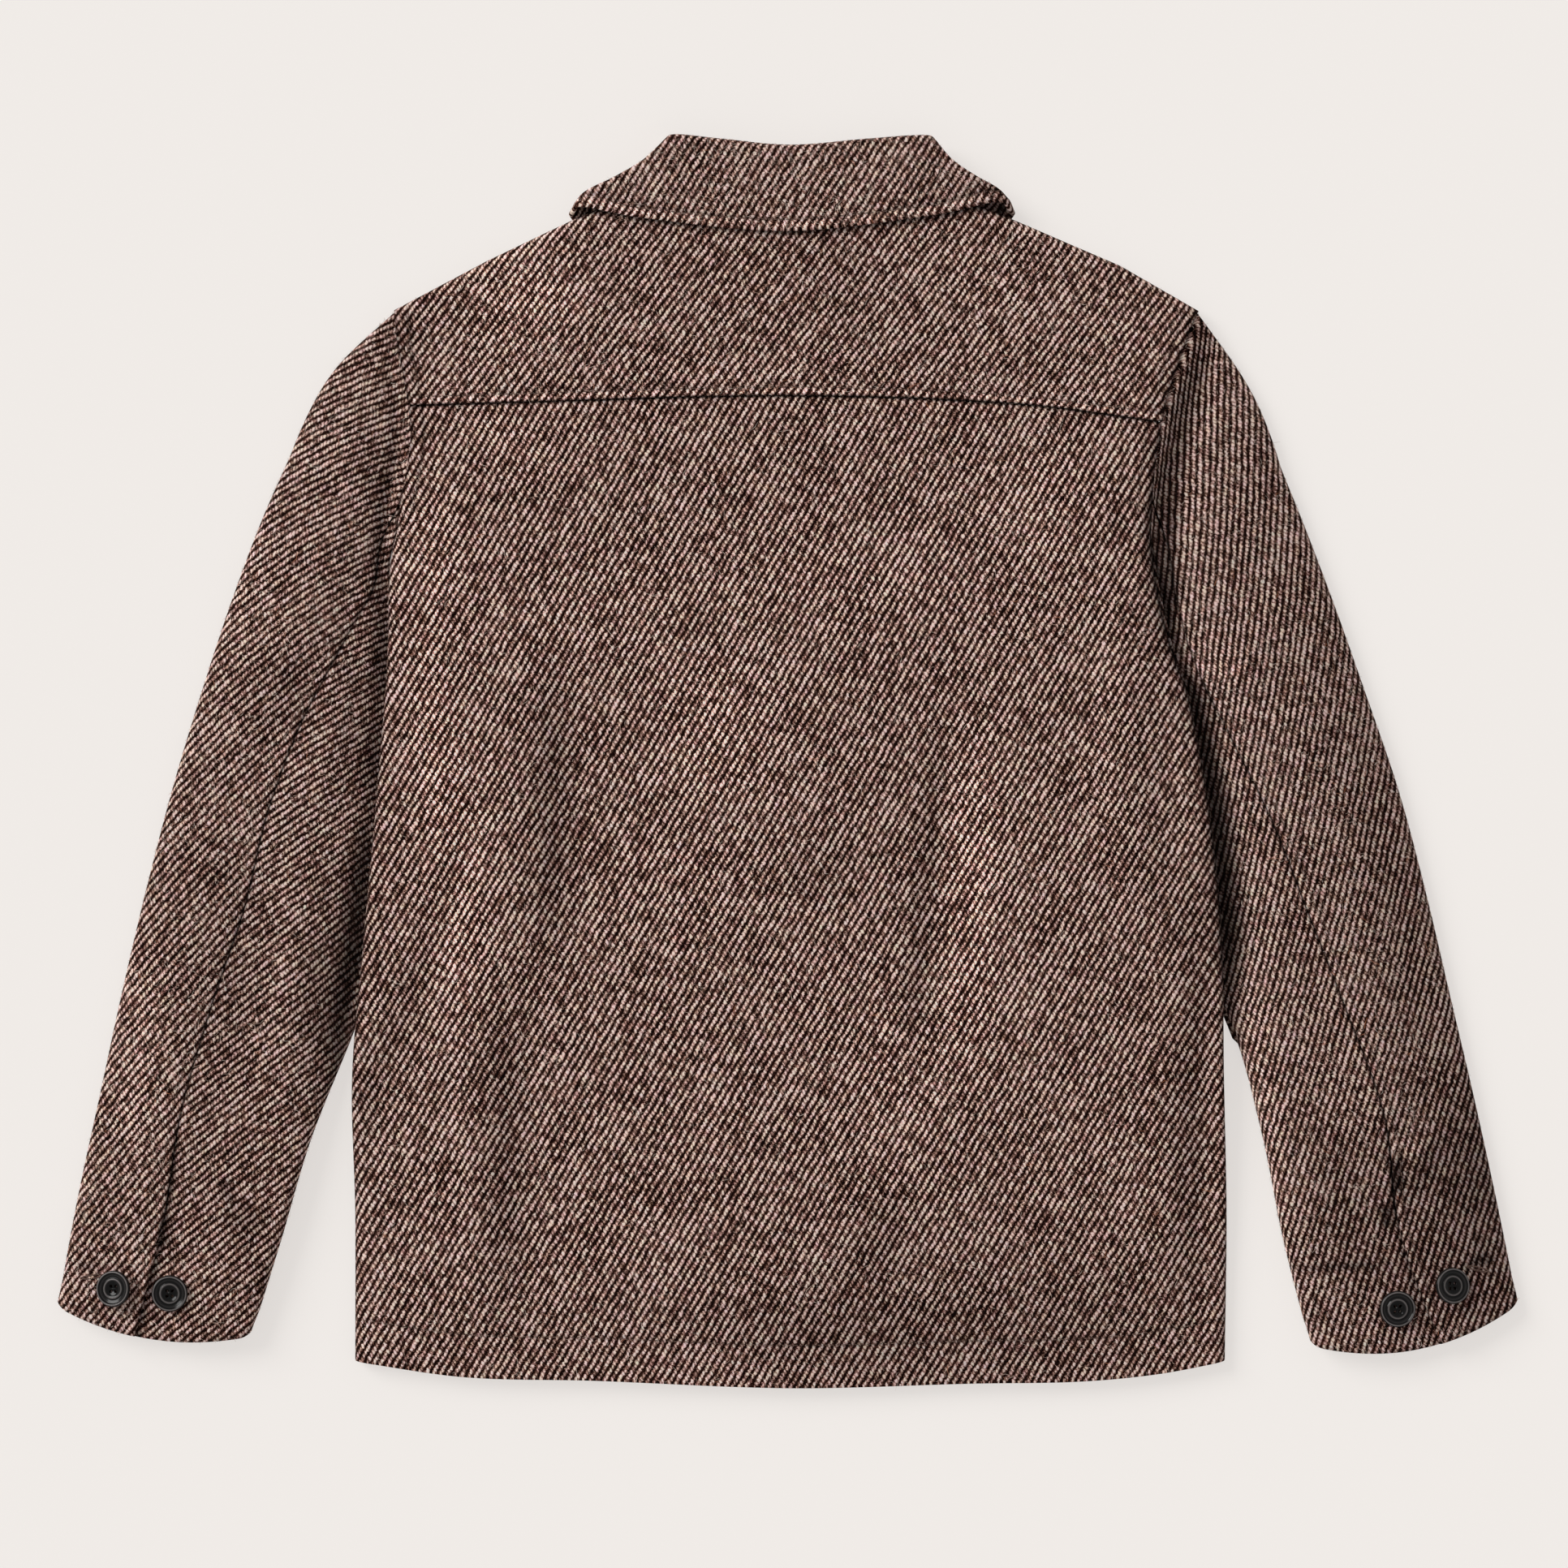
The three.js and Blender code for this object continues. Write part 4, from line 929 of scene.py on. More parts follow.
class Graph:
    """Builds a material's nodes. Sockets are given as numbers, tuples or other nodes' outputs."""

    def __init__(self, name):
        self.material = bpy.data.materials.new(name)
        self.material.use_nodes = True
        self.tree = self.material.node_tree
        self.tree.nodes.clear()

    def add(self, kind, inputs=(), **settings):
        node = self.tree.nodes.new(kind)
        for key, value in settings.items():
            setattr(node, key, value)
        for key, value in dict(inputs).items():
            if isinstance(value, bpy.types.NodeSocket):
                self.tree.links.new(value, node.inputs[key])
            else:
                node.inputs[key].default_value = value
        return node

    def math(self, operation, *values):
        return self.add("ShaderNodeMath", enumerate(values), operation=operation).outputs[0]

    def vector(self, operation, *values):
        node = self.add("ShaderNodeVectorMath", enumerate(values), operation=operation)
        return node.outputs["Value" if operation == "DOT_PRODUCT" else "Vector"]

    def scaled(self, vector, factor):
        inputs = {0: vector, "Scale": factor}
        return self.add("ShaderNodeVectorMath", inputs, operation="SCALE").outputs["Vector"]

    def noise(self, vector, scale, detail=2.0, roughness=0.5):
        return self.add(
            "ShaderNodeTexNoise", {"Vector": vector, "Scale": scale, "Detail": detail, "Roughness": roughness}
        )

    def ramp(self, factor, stops):
        node = self.add("ShaderNodeValToRGB", {0: factor})
        elements = node.color_ramp.elements
        for index, (place, colour) in enumerate(stops):
            element = elements[index] if index < 2 else elements.new(place)
            element.position = place
            element.color = (*colour, 1)
        return node.outputs[0]

    def mix(self, factor, first, second, blend="MIX"):
        inputs = {0: factor, 6: first, 7: second}
        return self.add("ShaderNodeMix", inputs, data_type="RGBA", blend_type=blend).outputs[2]

    def push(self, vector, noise, reach):
        """The vector, moved by a noise about its middle."""
        return self.vector("ADD", vector, self.scaled(self.vector("SUBTRACT", noise, (0.5, 0.5, 0.5)), reach))

    def swing(self, noise, strength, base):
        """The base, raised and lowered by a noise about its middle."""
        return self.math("MULTIPLY_ADD", self.math("SUBTRACT", noise, 0.5), strength, base)

    def swell(self, turns):
        """Smoothly from 0 to 1 and back over each whole turn."""
        cosine = self.math("COSINE", self.math("MULTIPLY", turns, 2 * math.pi))
        return self.math("MULTIPLY_ADD", cosine, -0.5, 0.5)

    def surface(self, colour, roughness, specular, more=()):
        sockets = {"Base Color": colour, "Roughness": roughness, "Specular IOR Level": specular}
        shader = self.add("ShaderNodeBsdfPrincipled", {**sockets, **dict(more)})
        self.add("ShaderNodeOutputMaterial", {0: shader.outputs[0]})
        return self.material


def linear(*levels):
    """A colour in linear light from its eight-bit screen levels."""
    values = [level / 255 for level in levels]
    return tuple(v / 12.92 if v <= 0.04045 else ((v + 0.055) / 1.055) ** 2.4 for v in values)


# Twill: the wave vectors of its diagonal wales and of the floats along them, as turns per mm and angle
wale_pitch, wale_angle = 3.95, 149.5
float_pitch, float_angle = 2.13, 34

# How far noise pushes the ropes about, in mm, and how much it swings their light
wobble_push, tuft_push = 2.9, 1.9
fibre_swing, patch_swing, cloud_swing = 2.45, 0.35, 0.42

# Painted light and shade on the ropes, over the wool's own tones: what a float and its chance tone add to the
# least, then contrast and level
float_light, float_least = 0.58, 0.53
chance_light, chance_least = 0.8, 0.53
contrast, light_level = 1.08, -0.005
patch_tints = (0.36, 0.28, 0.3)
bump_strength, bump_height = 0.8, 0.0008
# The colours along the ropes' painted light: the wool's own tones in the middle, painted shade at the dark
# end between the wales, and painted highlight at the pale end on the floats
wool_tones = [
    (0.0, (6, 1, 0)), (0.13, (28, 8, 4)), (0.28, (72, 42, 33)), (0.46, (134, 100, 88)),
    (0.64, (202, 169, 157)), (0.82, (248, 224, 212)), (1.0, (255, 246, 237)),
]


def wave(pitch, angle):
    return (math.cos(math.radians(angle)) / pitch, math.sin(math.radians(angle)) / pitch, 0)


def wool(name, turn=0.0, tint=(1.0, 1.0, 1.0), seed=0.0):
    """Ropey, fuzzy twill. turn is how far its grain leans, in degrees."""
    g = Graph(name)
    uv = g.add("ShaderNodeUVMap", uv_map="Flat").outputs[0]
    # The Shade layer: painted shade and painted light for this piece of wool
    shade = g.add("ShaderNodeUVMap", uv_map="Shade").outputs[0]
    shade = g.add("ShaderNodeSeparateXYZ", {0: shade}).outputs[0]
    at = g.vector("ADD", g.scaled(uv, 1000.0), (seed * 37.0, seed * 19.0, 0))
    wobble = g.noise(at, 0.12, 3.0, 0.6).outputs["Color"]
    tuft = g.noise(at, 0.62, 2.0, 0.7).outputs["Color"]
    pushed = g.push(g.push(at, wobble, wobble_push), tuft, tuft_push)
    across = g.vector("DOT_PRODUCT", pushed, wave(wale_pitch, wale_angle + turn))
    ahead = g.vector("DOT_PRODUCT", pushed, wave(float_pitch, float_angle + turn))
    rope = g.math("FLOOR", across)
    rope_start = g.add("ShaderNodeTexWhiteNoise", {"W": rope}, noise_dimensions="1D").outputs[0]
    ahead = g.math("ADD", ahead, rope_start)
    cell = g.add("ShaderNodeCombineXYZ", {0: rope, 1: g.math("FLOOR", ahead), 2: seed})
    chance = g.add("ShaderNodeTexWhiteNoise", {"Vector": cell.outputs[0]}).outputs[0]
    fibre = g.noise(at, 1.5, 3.0, 0.8).outputs[0]
    patch = g.noise(at, 0.16, 2.0, 0.6)
    cloud = g.noise(at, 0.03, 3.0, 0.65).outputs[0]
    floats = g.math("MULTIPLY_ADD", g.swell(ahead), float_light, float_least)
    lit = g.math("MULTIPLY", g.swell(across), floats)
    lit = g.math("MULTIPLY", lit, g.math("MULTIPLY_ADD", chance, chance_light, chance_least))
    lit = g.math("MULTIPLY_ADD", lit, contrast, light_level)
    for noise, swing in ((fibre, fibre_swing), (patch.outputs[0], patch_swing), (cloud, cloud_swing)):
        lit = g.swing(noise, swing, lit)
    colour = g.ramp(lit, [(place, linear(*tone)) for place, tone in wool_tones])
    patches = g.vector("SUBTRACT", patch.outputs["Color"], (0.5, 0.5, 0.5))
    mottle = g.vector("MULTIPLY_ADD", patches, patch_tints, tint)
    # The patch mottle, the piece's tint with its painted shade, and the Shade layer's painted shade and
    # painted light multiply the colour
    colour = g.mix(1.0, colour, g.scaled(mottle, shade), "MULTIPLY")
    bump = g.add("ShaderNodeBump", {"Strength": bump_strength, "Distance": bump_height, "Height": lit})
    sheen = {"Sheen Weight": 0.02, "Sheen Roughness": 0.5, "Sheen Tint": (*linear(214, 190, 178), 1)}
    return g.surface(colour, 0.95, 0.03, {"Normal": bump.outputs[0], **sheen})


def fuzz_material():
    g = Graph("wool_fuzz")
    tint = g.add("ShaderNodeUVMap", uv_map="Tint").outputs[0]
    colour = g.ramp(
        g.add("ShaderNodeSeparateXYZ", {0: tint}).outputs[0],
        [(0.0, linear(46, 30, 24)), (0.3, linear(120, 92, 80)), (0.6, linear(190, 166, 154)),
         (0.85, linear(228, 208, 196)), (1.0, linear(196, 120, 84))],
    )
    return g.surface(colour, 0.8, 0.2)


def thread_material():
    g = Graph("sewing_thread")
    uv = g.add("ShaderNodeTexCoord").outputs["Object"]
    twist = g.noise(uv, 900.0, 2.0).outputs[0]
    colour = g.ramp(twist, [(0.3, linear(62, 44, 36)), (0.7, linear(122, 98, 88))])
    return g.surface(colour, 0.75, 0.2)


def button_material(name="button_plastic", painted_rings=True):
    """Black plastic. On the turned buttons the ridges carry painted highlight rings, and the grooves painted
    shade.
    """
    g = Graph(name)
    at = g.add("ShaderNodeTexCoord").outputs["Object"]
    cloud = g.noise(at, 320.0, 3.0).outputs[0]
    if painted_rings:
        out = g.vector("MULTIPLY", at, (1, 1, 0))
        length = g.math("SQRT", g.vector("DOT_PRODUCT", out, out))
        # Painted highlight rings on the ridges and painted shade in the grooves, by distance from the axis
        rings = [
            (0.0, 4), (0.3, 7), (0.44, 16), (0.52, 104), (0.57, 30), (0.62, 2), (0.67, 16), (0.76, 40),
            (0.8, 2), (0.85, 12), (0.91, 118), (0.95, 30), (1.0, 5),
        ]
        tones = [(place, linear(tone, tone * 0.95, tone * 0.94)) for place, tone in rings]
        tone = g.ramp(g.math("DIVIDE", length, button["radius"] / 1000), tones)
        colour = g.mix(g.math("MULTIPLY", cloud, 0.45), tone, (*linear(8, 7, 7), 1))
    else:
        colour = g.ramp(cloud, [(0.3, linear(8, 7, 7)), (0.75, linear(22, 19, 18))])
    return g.surface(colour, g.math("MULTIPLY_ADD", cloud, 0.06, 0.11), 0.17)


floor_colour = (0.23, 0.221, 0.2125, 1)
floor_glow, floor_glow_strength = (0.9, 0.86, 0.83, 1), 0.713


def floor_material():
    """A pale floor that is lit a little from below, as a light table is, so that its shadows are faint."""
    g = Graph("pale_floor")
    glow = {"Emission Color": floor_glow, "Emission Strength": floor_glow_strength}
    return g.surface(floor_colour, 0.9, 0.1, glow)


# The cut pieces, from the cloth that shows to the hidden fronts
body_sides = [(0, 0.02, 0.0018), (0.027, 0.009, 0.0018), (1, 0.02, 0.0018), (0.973, 0.009, 0.0018)]
across_body = np.unique(np.concatenate([
    spaced(0, 1, 0.0066, *body_sides), [0.0004, 0.001, 0.999, 0.9996],
]))
body_rows = spaced(0, 1, 0.0062, (0, 0.01, 0.0025), (0.043, 0.009, 0.0017), (1, 0.016, 0.0022))
yoke_rows = spaced(0, 1, 0.026, (0, 0.13, 0.0085), (1, 0.1, 0.012))
front_across = spaced(0, 1, 0.016, (0, 0.04, 0.003))
front_rows = spaced(0, 1, 0.009, (1, 0.03, 0.004), (0, 0.01, 0.003))
sleeve_rows = spaced(0, 1, 0.0058, (0, 0.03, 0.0025), (0.92, 0.01, 0.0015), (0.873, 0.02, 0.003))
top_across = spaced(0, 2, 0.032, (0, 0.1, 0.012), (1, 0.1, 0.012))
under_across = spaced(0, 2, 0.055, (0, 0.12, 0.016), (1, 0.16, 0.02))
collar_across = spaced(-1, 2, 0.024, (0, 0.12, 0.01), (1, 0.12, 0.01))
fall_rows = spaced(0, 1, 0.05, (0, 0.15, 0.014), (0.94, 0.06, 0.01))
stand_rows = spaced(0, 1, 0.1, (1, 0.15, 0.02))

pieces = {}
surfaces = {}


def make(node, surface, across, lengthwise, flat_of, shade_of, round_rim=(), wall=cloth, flips=0):
    """One piece of cloth. flips is the span of a surface that runs the other way across, or 0."""
    if flips:
        surface, across = flipped(surface, flips), flips - across[::-1]
    pieces[node] = panel(node + "_cloth", surface, across, lengthwise, flat_of, shade_of, round_rim, wall)
    surfaces[node] = (surface, across, lengthwise, shade_of)


make("back", back_surface, across_body, body_rows, body_flat, body_shade, ("bottom",))
make("back_yoke", yoke_surface, across_body, yoke_rows, body_flat, body_shade)
make(
    "left_front", front_surface(-1, overlap_rise), front_across, front_rows, under_flat, front_shade,
    ("bottom", "left"), flips=1,
)
make(
    "right_front", front_surface(1, lambda x: 0 * x), front_across, front_rows, under_flat, front_shade,
    ("bottom", "right"),
)
for sleeve in sleeves:
    flat_of, on_right = sleeve_flat(sleeve), sleeve["sign"] > 0
    make(
        sleeve["name"] + "_top_sleeve", top_sleeve_surface(sleeve), top_across, sleeve_rows,
        flat_of, sleeve_shade(sleeve, False), flips=2 if on_right else 0,
    )
    make(
        sleeve["name"] + "_under_sleeve", under_sleeve_surface(sleeve), under_across, sleeve_rows,
        flat_of, sleeve_shade(sleeve, True), flips=0 if on_right else 2,
    )
make(
    "collar_fall", fall_surface, collar_across, fall_rows, collar_flat, collar_shade,
    ("right", "top", "left"), wall=fall_cloth, flips=1,
)
make("collar_stand", stand_surface, collar_across, stand_rows, collar_flat, plain_shade, flips=1)


# Sewing: each stitch is a short capsule of thread that sinks into the wool at its ends
stitch_length, stitch_gap, thread_radius, thread_lift = 2.7, 1.1, 0.34, 0.1
shank_radius, cord_radius = 0.45, 0.4
stitch_shape = [(0, -0.5, 0.35), (0.18, 0.0, 0.9), (0.5, 0.18, 1.0), (0.82, 0.0, 0.9), (1, -0.5, 0.35)]


def capsules(name, starts, ends, normals, radius, sides=5):
    """One mesh of small capsules, from their start and end points, lifted a little in the middle."""
    ring = np.linspace(0, 2 * np.pi, sides, endpoint=False)
    points, faces = [], []
    for start, end, normal in zip(starts, ends, normals):
        run = end - start
        length = np.linalg.norm(run)
        run = run / max(length, 1e-9)
        side = np.cross(normal, run)
        base = len(points)
        for t, lift, scale in stitch_shape:
            centre = start + run * length * t + normal * lift
            around = [math.cos(angle) * side + math.sin(angle) * normal for angle in ring]
            points += [tuple(centre + radius * scale * way) for way in around]
        for level in range(len(stitch_shape) - 1):
            for k in range(sides):
                a, b = base + level * sides + k, base + level * sides + (k + 1) % sides
                faces.append((b, a, a + sides, b + sides))
        faces.append(tuple(base + k for k in range(sides)))
        faces.append(tuple(base + (len(stitch_shape) - 1) * sides + k for k in reversed(range(sides))))
    made = mesh_object(name, (np.array(points) / 1000).tolist(), faces)
    made.data.materials.append(thread)
    return made


def stitched(name, path, seed):
    """Stitches along a path of points on the cloth, with a little unevenness."""
    rng = np.random.default_rng(seed)
    steps = np.linalg.norm(np.diff(path, axis=0), axis=1)
    run = np.concatenate([[0], np.cumsum(steps)])
    starts = np.arange(0.5, run[-1] - stitch_length, stitch_length + stitch_gap)
    starts = starts + rng.uniform(-0.2, 0.2, len(starts))
    at = lambda s: np.stack([np.interp(s, run, path[:, k]) for k in range(3)], axis=1)
    first, last = at(starts), at(starts + stitch_length)
    wander = rng.normal(0, 0.12, (len(starts), 3)) * (1, 1, 0)
    normal = np.tile((0.0, 0.0, 1.0), (len(starts), 1))
    return capsules(name, first + wander, last - wander, normal, thread_radius)


thread = thread_material()
plastic = button_material()
front_plastic = button_material("front_button_plastic", False)
fuzz = fuzz_material()
sewing = {node: [] for node in pieces}


def sew(node, name, path, seed):
    sewing[node].append(stitched(name, path, seed))


def on_back(x, y):
    return stack(x, y, dressed(x, y) + thread_lift)


xs = np.linspace(-262, 266, 260)
sew("back", "hem_stitches", on_back(xs, hem_y(xs) + hem_stitch), 11)
xs = np.linspace(-228, 226, 240)
sew("back_yoke", "yoke_stitches", on_back(xs, yoke_y(xs) + yoke_stitch), 12)
for side, edge, seed in ((1, left_edge, 13), (-1, right_edge, 14)):
    word = "left" if side > 0 else "right"
    ys = np.linspace(armpit_y + 6, yoke_level_y - 14, 60)
    at_x = edge(ys) + side * armhole_stitch
    sew("back", word + "_back_armhole_stitches", on_back(at_x, ys), seed)
    ys = np.linspace(yoke_level_y + 12, shoulder_level_y - 2, 40)
    at_x = edge(ys) + side * armhole_stitch
    sew("back_yoke", word + "_yoke_armhole_stitches", on_back(at_x, ys), seed + 10)
for sleeve, seed in zip(sleeves, (31, 32)):
    vs = np.linspace(0.3, 0.985, 300)
    across = sleeve["seam"](vs) + sleeve_stitch / sleeve_width(sleeve, vs)
    path = sleeve_top(sleeve, across, vs) + (0, 0, thread_lift)
    sew(sleeve["name"] + "_top_sleeve", sleeve["name"] + "_sleeve_stitches", path, seed)
us = np.linspace(0.06, 0.94, 200)
edge_places = 1 - collar_stitch / np.hypot(*np.subtract(roll_plan(us), edge_plan(us)))
sew("collar_fall", "collar_stitches", fall_surface(us, edge_places) + (0, 0, thread_lift), 41)


# Buttons, from the middle of the back round the rim to the middle of the front, as far out and up
button_profile = [
    (0, 0), (9.1, 0), (10.9, 0.8), (11.5, 1.9), (11.35, 3.1), (10.9, 3.85), (10.3, 4.0), (9.8, 3.85),
    (9.4, 3.4), (9.0, 3.25), (8.3, 3.05), (7.5, 2.7), (7.1, 2.62), (6.8, 2.75), (6.5, 3.15), (6.1, 3.32),
    (5.5, 3.3), (4.9, 3.15), (4.2, 2.75), (3.2, 2.4), (1.6, 2.22), (0, 2.2),
]


def circle(radius, sides):
    angles = [2 * math.pi * k / sides for k in range(sides)]
    return [(radius * math.cos(angle), radius * math.sin(angle)) for angle in angles]


def turned_button(name, sides=72):
    points = [(0, 0, 0)]
    for out, up in button_profile[1:-1]:
        points += [(x / 1000, y / 1000, up / 1000) for x, y in circle(out, sides)]
    points.append((0, 0, button_profile[-1][1] / 1000))
    rings = len(button_profile) - 2
    faces = [(0, 1 + (k + 1) % sides, 1 + k) for k in range(sides)]
    for ring in range(rings - 1):
        for k in range(sides):
            a, b = 1 + ring * sides + k, 1 + ring * sides + (k + 1) % sides
            faces.append((a, b, b + sides, a + sides))
    last = 1 + (rings - 1) * sides
    faces += [(last + k, last + (k + 1) % sides, len(points) - 1) for k in range(sides)]
    made = mesh_object(name, points, faces)
    drills = [drill_at(math.radians(angle)) for angle in (45, 135, 225, 315)]
    for drill in drills:
        cut = made.modifiers.new("hole", "BOOLEAN")
        cut.operation, cut.solver, cut.object = "DIFFERENCE", "EXACT", drill
    depsgraph = bpy.context.evaluated_depsgraph_get()
    whole = bpy.data.meshes.new_from_object(made.evaluated_get(depsgraph))
    made.modifiers.clear()
    made.data = whole
    for drill in drills:
        bpy.data.objects.remove(drill)
    whole.polygons.foreach_set("use_smooth", np.ones(len(whole.polygons), dtype=bool))
    return made


def drill_at(angle, sides=20, low=-1, high=6):
    """A round bar through one of a button's holes, to cut it with."""
    out_x, out_y = button["hole_out"] * math.cos(angle), button["hole_out"] * math.sin(angle)
    rim = circle(button["hole"], sides)
    points = [((out_x + x) / 1000, (out_y + y) / 1000, z / 1000) for z in (low, high) for x, y in rim]
    faces = [(k, (k + 1) % sides, sides + (k + 1) % sides, sides + k) for k in range(sides)]
    faces += [tuple(reversed(range(sides))), tuple(range(sides, 2 * sides))]
    return mesh_object("drill", points, faces)


def unit(vector):
    return vector / np.linalg.norm(vector)


def button_seat(sleeve, place):
    """Where a cuff button's back is, and which way it faces."""
    step = 0.01
    at = lambda across, v: sleeve_top(sleeve, np.array([across]), np.array([v]))[0]
    point = at(place["across"], place["along"])
    outwards = unit(at(place["across"] + step, place["along"]) - point)
    to_cuff = unit(at(place["across"], place["along"] + step) - point)
    normal = unit(np.cross(outwards, to_cuff) * -sleeve["sign"])
    tilt = math.radians(place["tilt"])
    facing = normal * math.cos(tilt) + outwards * math.sin(tilt)
    stand_off = 0.3 + (button["radius"] - 1) * math.sin(tilt) - place["sunk"]
    return point, point + normal * stand_off, facing


cuff_buttons = []
for sleeve in sleeves:
    for place in sleeve["buttons"]:
        seat, back, facing = button_seat(sleeve, place)
        made = turned_button(place["name"] + "_turned")
        made.location = Vector(back) / 1000
        made.rotation_mode = "QUATERNION"
        made.rotation_quaternion = Vector((0, 0, 1)).rotation_difference(Vector(facing))
        made.data.materials.append(plastic)
        cuff_buttons.append((made, place["name"], sleeve["name"], seat, back, facing))

# The thread shank under each cuff button, with the passes of thread through its holes
shanks = []
for made, name, side, seat, back, facing in cuff_buttons:
    across = unit(np.cross(facing, (0.3, 1.0, 0.1)))
    other = np.cross(facing, across)
    starts, ends, normals = [], [], []
    for shift in (-1, 1):
        for place in (-0.5, 0.5):
            foot = seat + across * shift * 0.7 + other * place
            starts.append(foot - facing * 0.4)
            ends.append(back + across * shift * 1.4 + other * place * 2.4 + facing * 0.4)
            normals.append(other)
    shank = capsules(name + "_shank", starts, ends, normals, shank_radius)
    shanks.append((shank, side))

# Buttonholes: a corded oval beside each outer cuff button
buttonholes = table(
    "sleeve x y length width lean",
    ("left", -437, -323.5, 15, 3.4, 8), ("right", 433.5, -318.5, 15, 3.4, -12),
)
buttonhole_stitches = 44


def sleeve_height_at(sleeve, x, y):
    """The sleeve's outer face over a point of the plan, found by a short search."""
    acrosses, vs = np.meshgrid(np.linspace(0.3, 0.99, 90), np.linspace(0.9, 1, 60))
    points = sleeve_top(sleeve, acrosses, vs)
    index = np.argmin((points[..., 0] - x) ** 2 + (points[..., 1] - y) ** 2)
    return points[..., 2].ravel()[index]


hole_pieces = []
for row in buttonholes:
    sleeve = next(s for s in sleeves if s["name"] == row["sleeve"])
    starts, ends, normals = [], [], []
    lean = math.radians(row["lean"])
    for k in range(buttonhole_stitches):
        angle = 2 * math.pi * k / buttonhole_stitches
        inner_x, inner_y = math.cos(angle) * (row["length"] / 2 - 1), math.sin(angle) * 0.4
        outer_x, outer_y = math.cos(angle) * row["length"] / 2, math.sin(angle) * row["width"] / 2
        ends_here = []
        for px, py in ((inner_x, inner_y), (outer_x, outer_y)):
            x = row["x"] + px * math.cos(lean) - py * math.sin(lean)
            y = row["y"] + px * math.sin(lean) + py * math.cos(lean)
            ends_here.append(np.array((x, y, sleeve_height_at(sleeve, x, y) + 0.15)))
        starts.append(ends_here[0])
        ends.append(ends_here[1])
        normals.append(np.array((0, 0, 1.0)))
    cord = capsules(row["sleeve"] + "_buttonhole", starts, ends, normals, cord_radius, 4)
    hole_pieces.append((cord, row["sleeve"]))

# Fuzz: fine loose fibres that lie over the cloth, and stand out a little at its folded edges
fuzz_rows = table(
    "node count seed", ("back", 15000, 61), ("back_yoke", 4200, 62), ("left_top_sleeve", 5200, 63),
    ("right_top_sleeve", 5200, 64), ("left_under_sleeve", 2600, 65), ("right_under_sleeve", 2600, 66),
    ("collar_fall", 2600, 67),
)


fibre_length, fibre_spread, fibre_bend = 2.6, 0.45, 0.28
fibre_lifts, fibre_widths = (0.15, 0.75), (0.05, 0.11)
fuzz_above, fuzz_where_lit = 1.5, 0.75


def fuzzed(name, surface, across, lengthwise, shade_of, count, seed):
    """Loose fibres strewn over a surface by its area: each a thin, bent strip of two quads."""
    rng = np.random.default_rng(seed)
    u, v = np.meshgrid(across, lengthwise)
    points = surface(u, v)
    step_u, step_v = points[:-1, 1:] - points[:-1, :-1], points[1:, :-1] - points[:-1, :-1]
    area = np.linalg.norm(np.cross(step_u, step_v), axis=2)
    visible = points[:-1, :-1, 2] > fuzz_above
    open_wool = np.broadcast_to(shade_of(points, u, v), u.shape)[:-1, :-1] > fuzz_where_lit
    weight = (area * visible * open_wool).ravel()
    cells = rng.choice(len(weight), count, p=weight / weight.sum())
    row, place = np.unravel_index(cells, area.shape)
    s, t = rng.random(count), rng.random(count)
    at_u = lerp(across[place], across[place + 1], s)
    at_v = lerp(lengthwise[row], lengthwise[row + 1], t)
    span_u, span_v = (across[0], across[-1]), (lengthwise[0], lengthwise[-1])
    root = surface(at_u, at_v)
    normal = surface_normal(surface, at_u, at_v, span_u, span_v)
    heading = rng.normal(size=(count, 3))
    heading -= normal * (heading * normal).sum(1, keepdims=True)
    heading /= np.linalg.norm(heading, axis=1, keepdims=True)
    side = np.cross(normal, heading)
    length = rng.lognormal(math.log(fibre_length), fibre_spread, count)[:, None]
    bend = rng.normal(0, fibre_bend, (count, 1))
    lift = rng.uniform(*fibre_lifts, (count, 1))
    width = rng.uniform(*fibre_widths, (count, 1))
    spine = []
    for t, height, wide in ((0, -0.1, 0.7), (0.5, 1.0, 1.0), (1.0, 0.55, 0.4)):
        ahead, aside = length * (t - 0.5), bend * length * (t - 0.5) ** 2 * 2
        centre = root + heading * ahead + side * aside + normal * lift * height
        spine += [centre - side * width * wide, centre + side * width * wide]
    vertices = np.stack(spine, 1).reshape(-1, 3)
    vertices[:, 2] = np.maximum(vertices[:, 2], 0.05)
    base = np.arange(count)[:, None] * 6
    quads = np.concatenate([base + (0, 1, 3, 2), base + (2, 3, 5, 4)])
    made = mesh_object(name, (vertices / 1000).tolist(), quads.tolist())
    add_values(made, "Tint", np.repeat(rng.random(count), 6))
    made.data.materials.append(fuzz)
    return made


for row in fuzz_rows:
    made = fuzzed("fuzz_" + row["node"], *surfaces[row["node"]], row["count"], row["seed"])
    sewing[row["node"]].append(made)

# Materials, riding and what each piece stands for
wool_tint = (1.04, 0.94, 0.93)
# The same wool on every piece; a factor below 1 is painted shade: on the sleeves, more on the right one, on
# the collar, and most on the stand beneath it
wool_rows = table(
    "node turn seed lightness",
    ("back", 0, 1, 1), ("back_yoke", -6, 2, 1), ("left_front", 0, 3, 1), ("right_front", 0, 4, 1),
    ("left_top_sleeve", 0, 5, 0.92), ("left_under_sleeve", -8, 6, 0.92), ("right_top_sleeve", 0, 7, 0.88),
    ("right_under_sleeve", 0, 8, 0.88), ("collar_fall", -2, 9, 0.98), ("collar_stand", 0, 10, 0.8),
)
for row in wool_rows:
    node = row["node"]
    tint = tuple(row["lightness"] * part for part in wool_tint)
    pieces[node].data.materials.append(wool("wool_" + node, row["turn"], tint, row["seed"]))
    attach(pieces[node], "root")
    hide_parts(node)
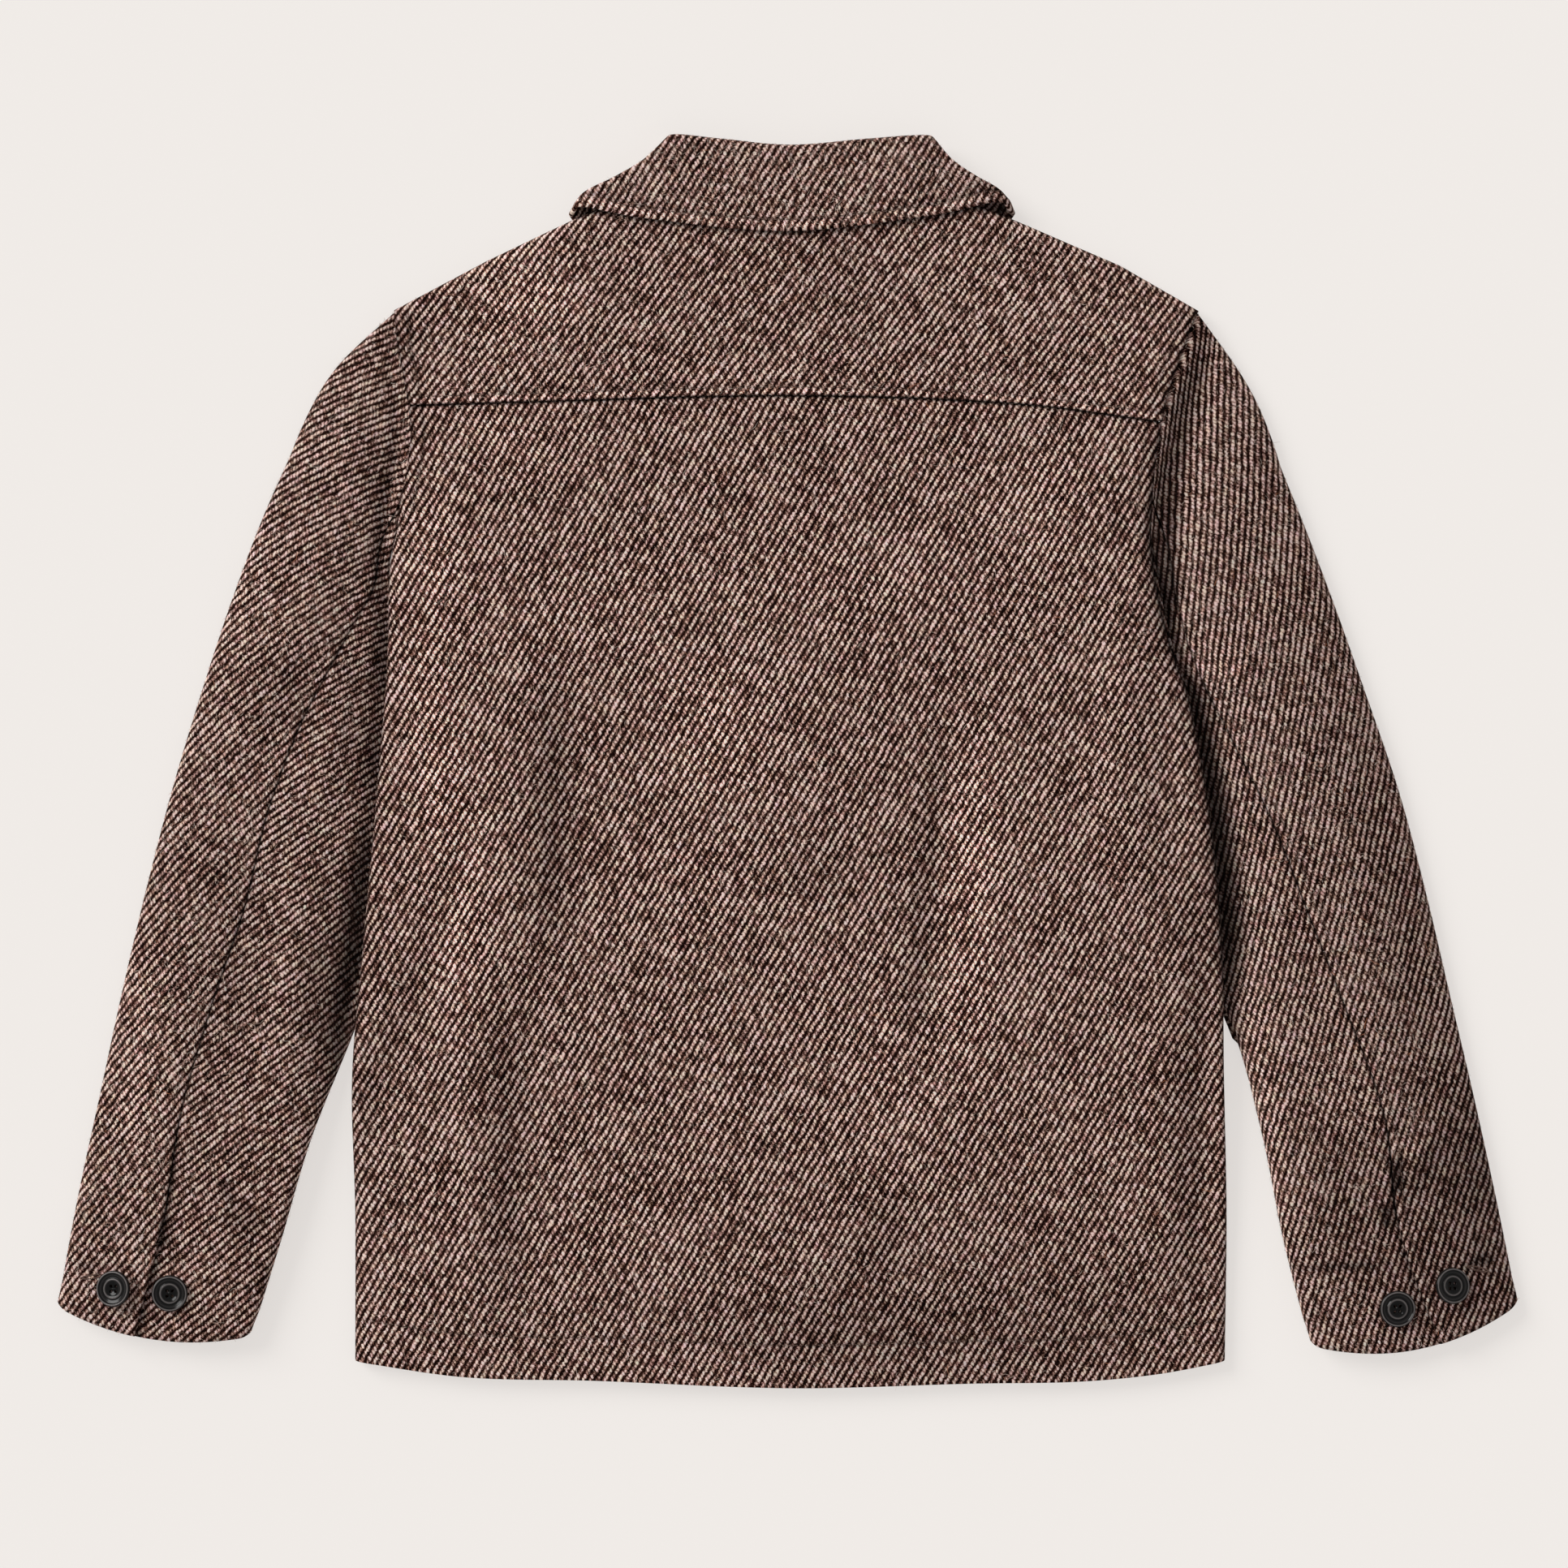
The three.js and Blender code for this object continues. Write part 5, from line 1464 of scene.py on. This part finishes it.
for made, name, side, seat, back, facing in cuff_buttons:
    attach(made, "root")
    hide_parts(name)
for shank, side in shanks:
    sewing[side + ("_top_sleeve" if "outer" in shank.name else "_under_sleeve")].append(shank)
for hole, side in hole_pieces:
    sewing[side + "_top_sleeve"].append(hole)
for extras in sewing.values():
    for extra in extras:
        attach(extra, "root")
for number in range(front_button_count):
    node = frame["nodes"]["front_button_%d" % (number + 1)]
    if node.material_slots:
        node.material_slots[0].material = front_plastic
    else:
        node.data.materials.append(front_plastic)

# Each cut piece's size on the flat cloth, in metres and square metres, and what it lies on
cuts = table(
    "node width length area rests_on",
    ("back", 0.556, 0.626, 0.322, ("left_front_cloth", "right_front_cloth")),
    ("back_yoke", 0.547, 0.134, 0.0556, ("left_front_cloth", "right_front_cloth", "collar_stand_cloth")),
    ("left_front", 0.319, 0.751, 0.1995, ("floor", "right_front_cloth")),
    ("right_front", 0.326, 0.754, 0.197, ("floor",)),
    ("left_top_sleeve", 0.234, 0.667, 0.1106, ("floor",)),
    ("left_under_sleeve", 0.128, 0.563, 0.0541, ("floor",)),
    ("right_top_sleeve", 0.239, 0.66, 0.119, ("floor",)),
    ("right_under_sleeve", 0.138, 0.571, 0.0485, ("floor",)),
    ("collar_fall", 0.526, 0.092, 0.0307, ("collar_stand_cloth", "back_yoke_cloth")),
    ("collar_stand", 0.399, 0.045, 0.012, ("left_front_cloth", "right_front_cloth")),
)
for cut in cuts:
    list(cut["rests_on"])
    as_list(sewing[cut["node"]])

# Floor, light and the picture's tones
floor_half, floor_drop = 3.0, 0.0004
floor_corners = [(x * floor_half, y * floor_half, 0) for x, y in ((-1, -1), (1, -1), (1, 1), (-1, 1))]
floor = mesh_object("floor", floor_corners, [(0, 1, 2, 3)], False)
floor.location.z = -floor_drop
floor.data.materials.append(floor_material())

key_direction, key_strength, key_angle = (-0.74, 0.5, 0.56), 2.8, 34
key_colour, studio_colour, studio_strength = (1.0, 0.99, 0.975), (1.0, 0.99, 0.98, 1), 0.52
sun = bpy.data.objects.new("key", bpy.data.lights.new("key", "SUN"))
sun.data.energy = key_strength
sun.data.angle = math.radians(key_angle)
sun.data.color = key_colour
sun.rotation_euler = Vector(key_direction).to_track_quat("Z", "Y").to_euler()
scene.collection.objects.link(sun)
world = bpy.data.worlds.new("studio")
world.use_nodes = True
background = world.node_tree.nodes["Background"]
background.inputs["Color"].default_value = studio_colour
background.inputs["Strength"].default_value = studio_strength
scene.world = world
scene.view_settings.view_transform = "Standard"
scene.view_settings.look = "None"
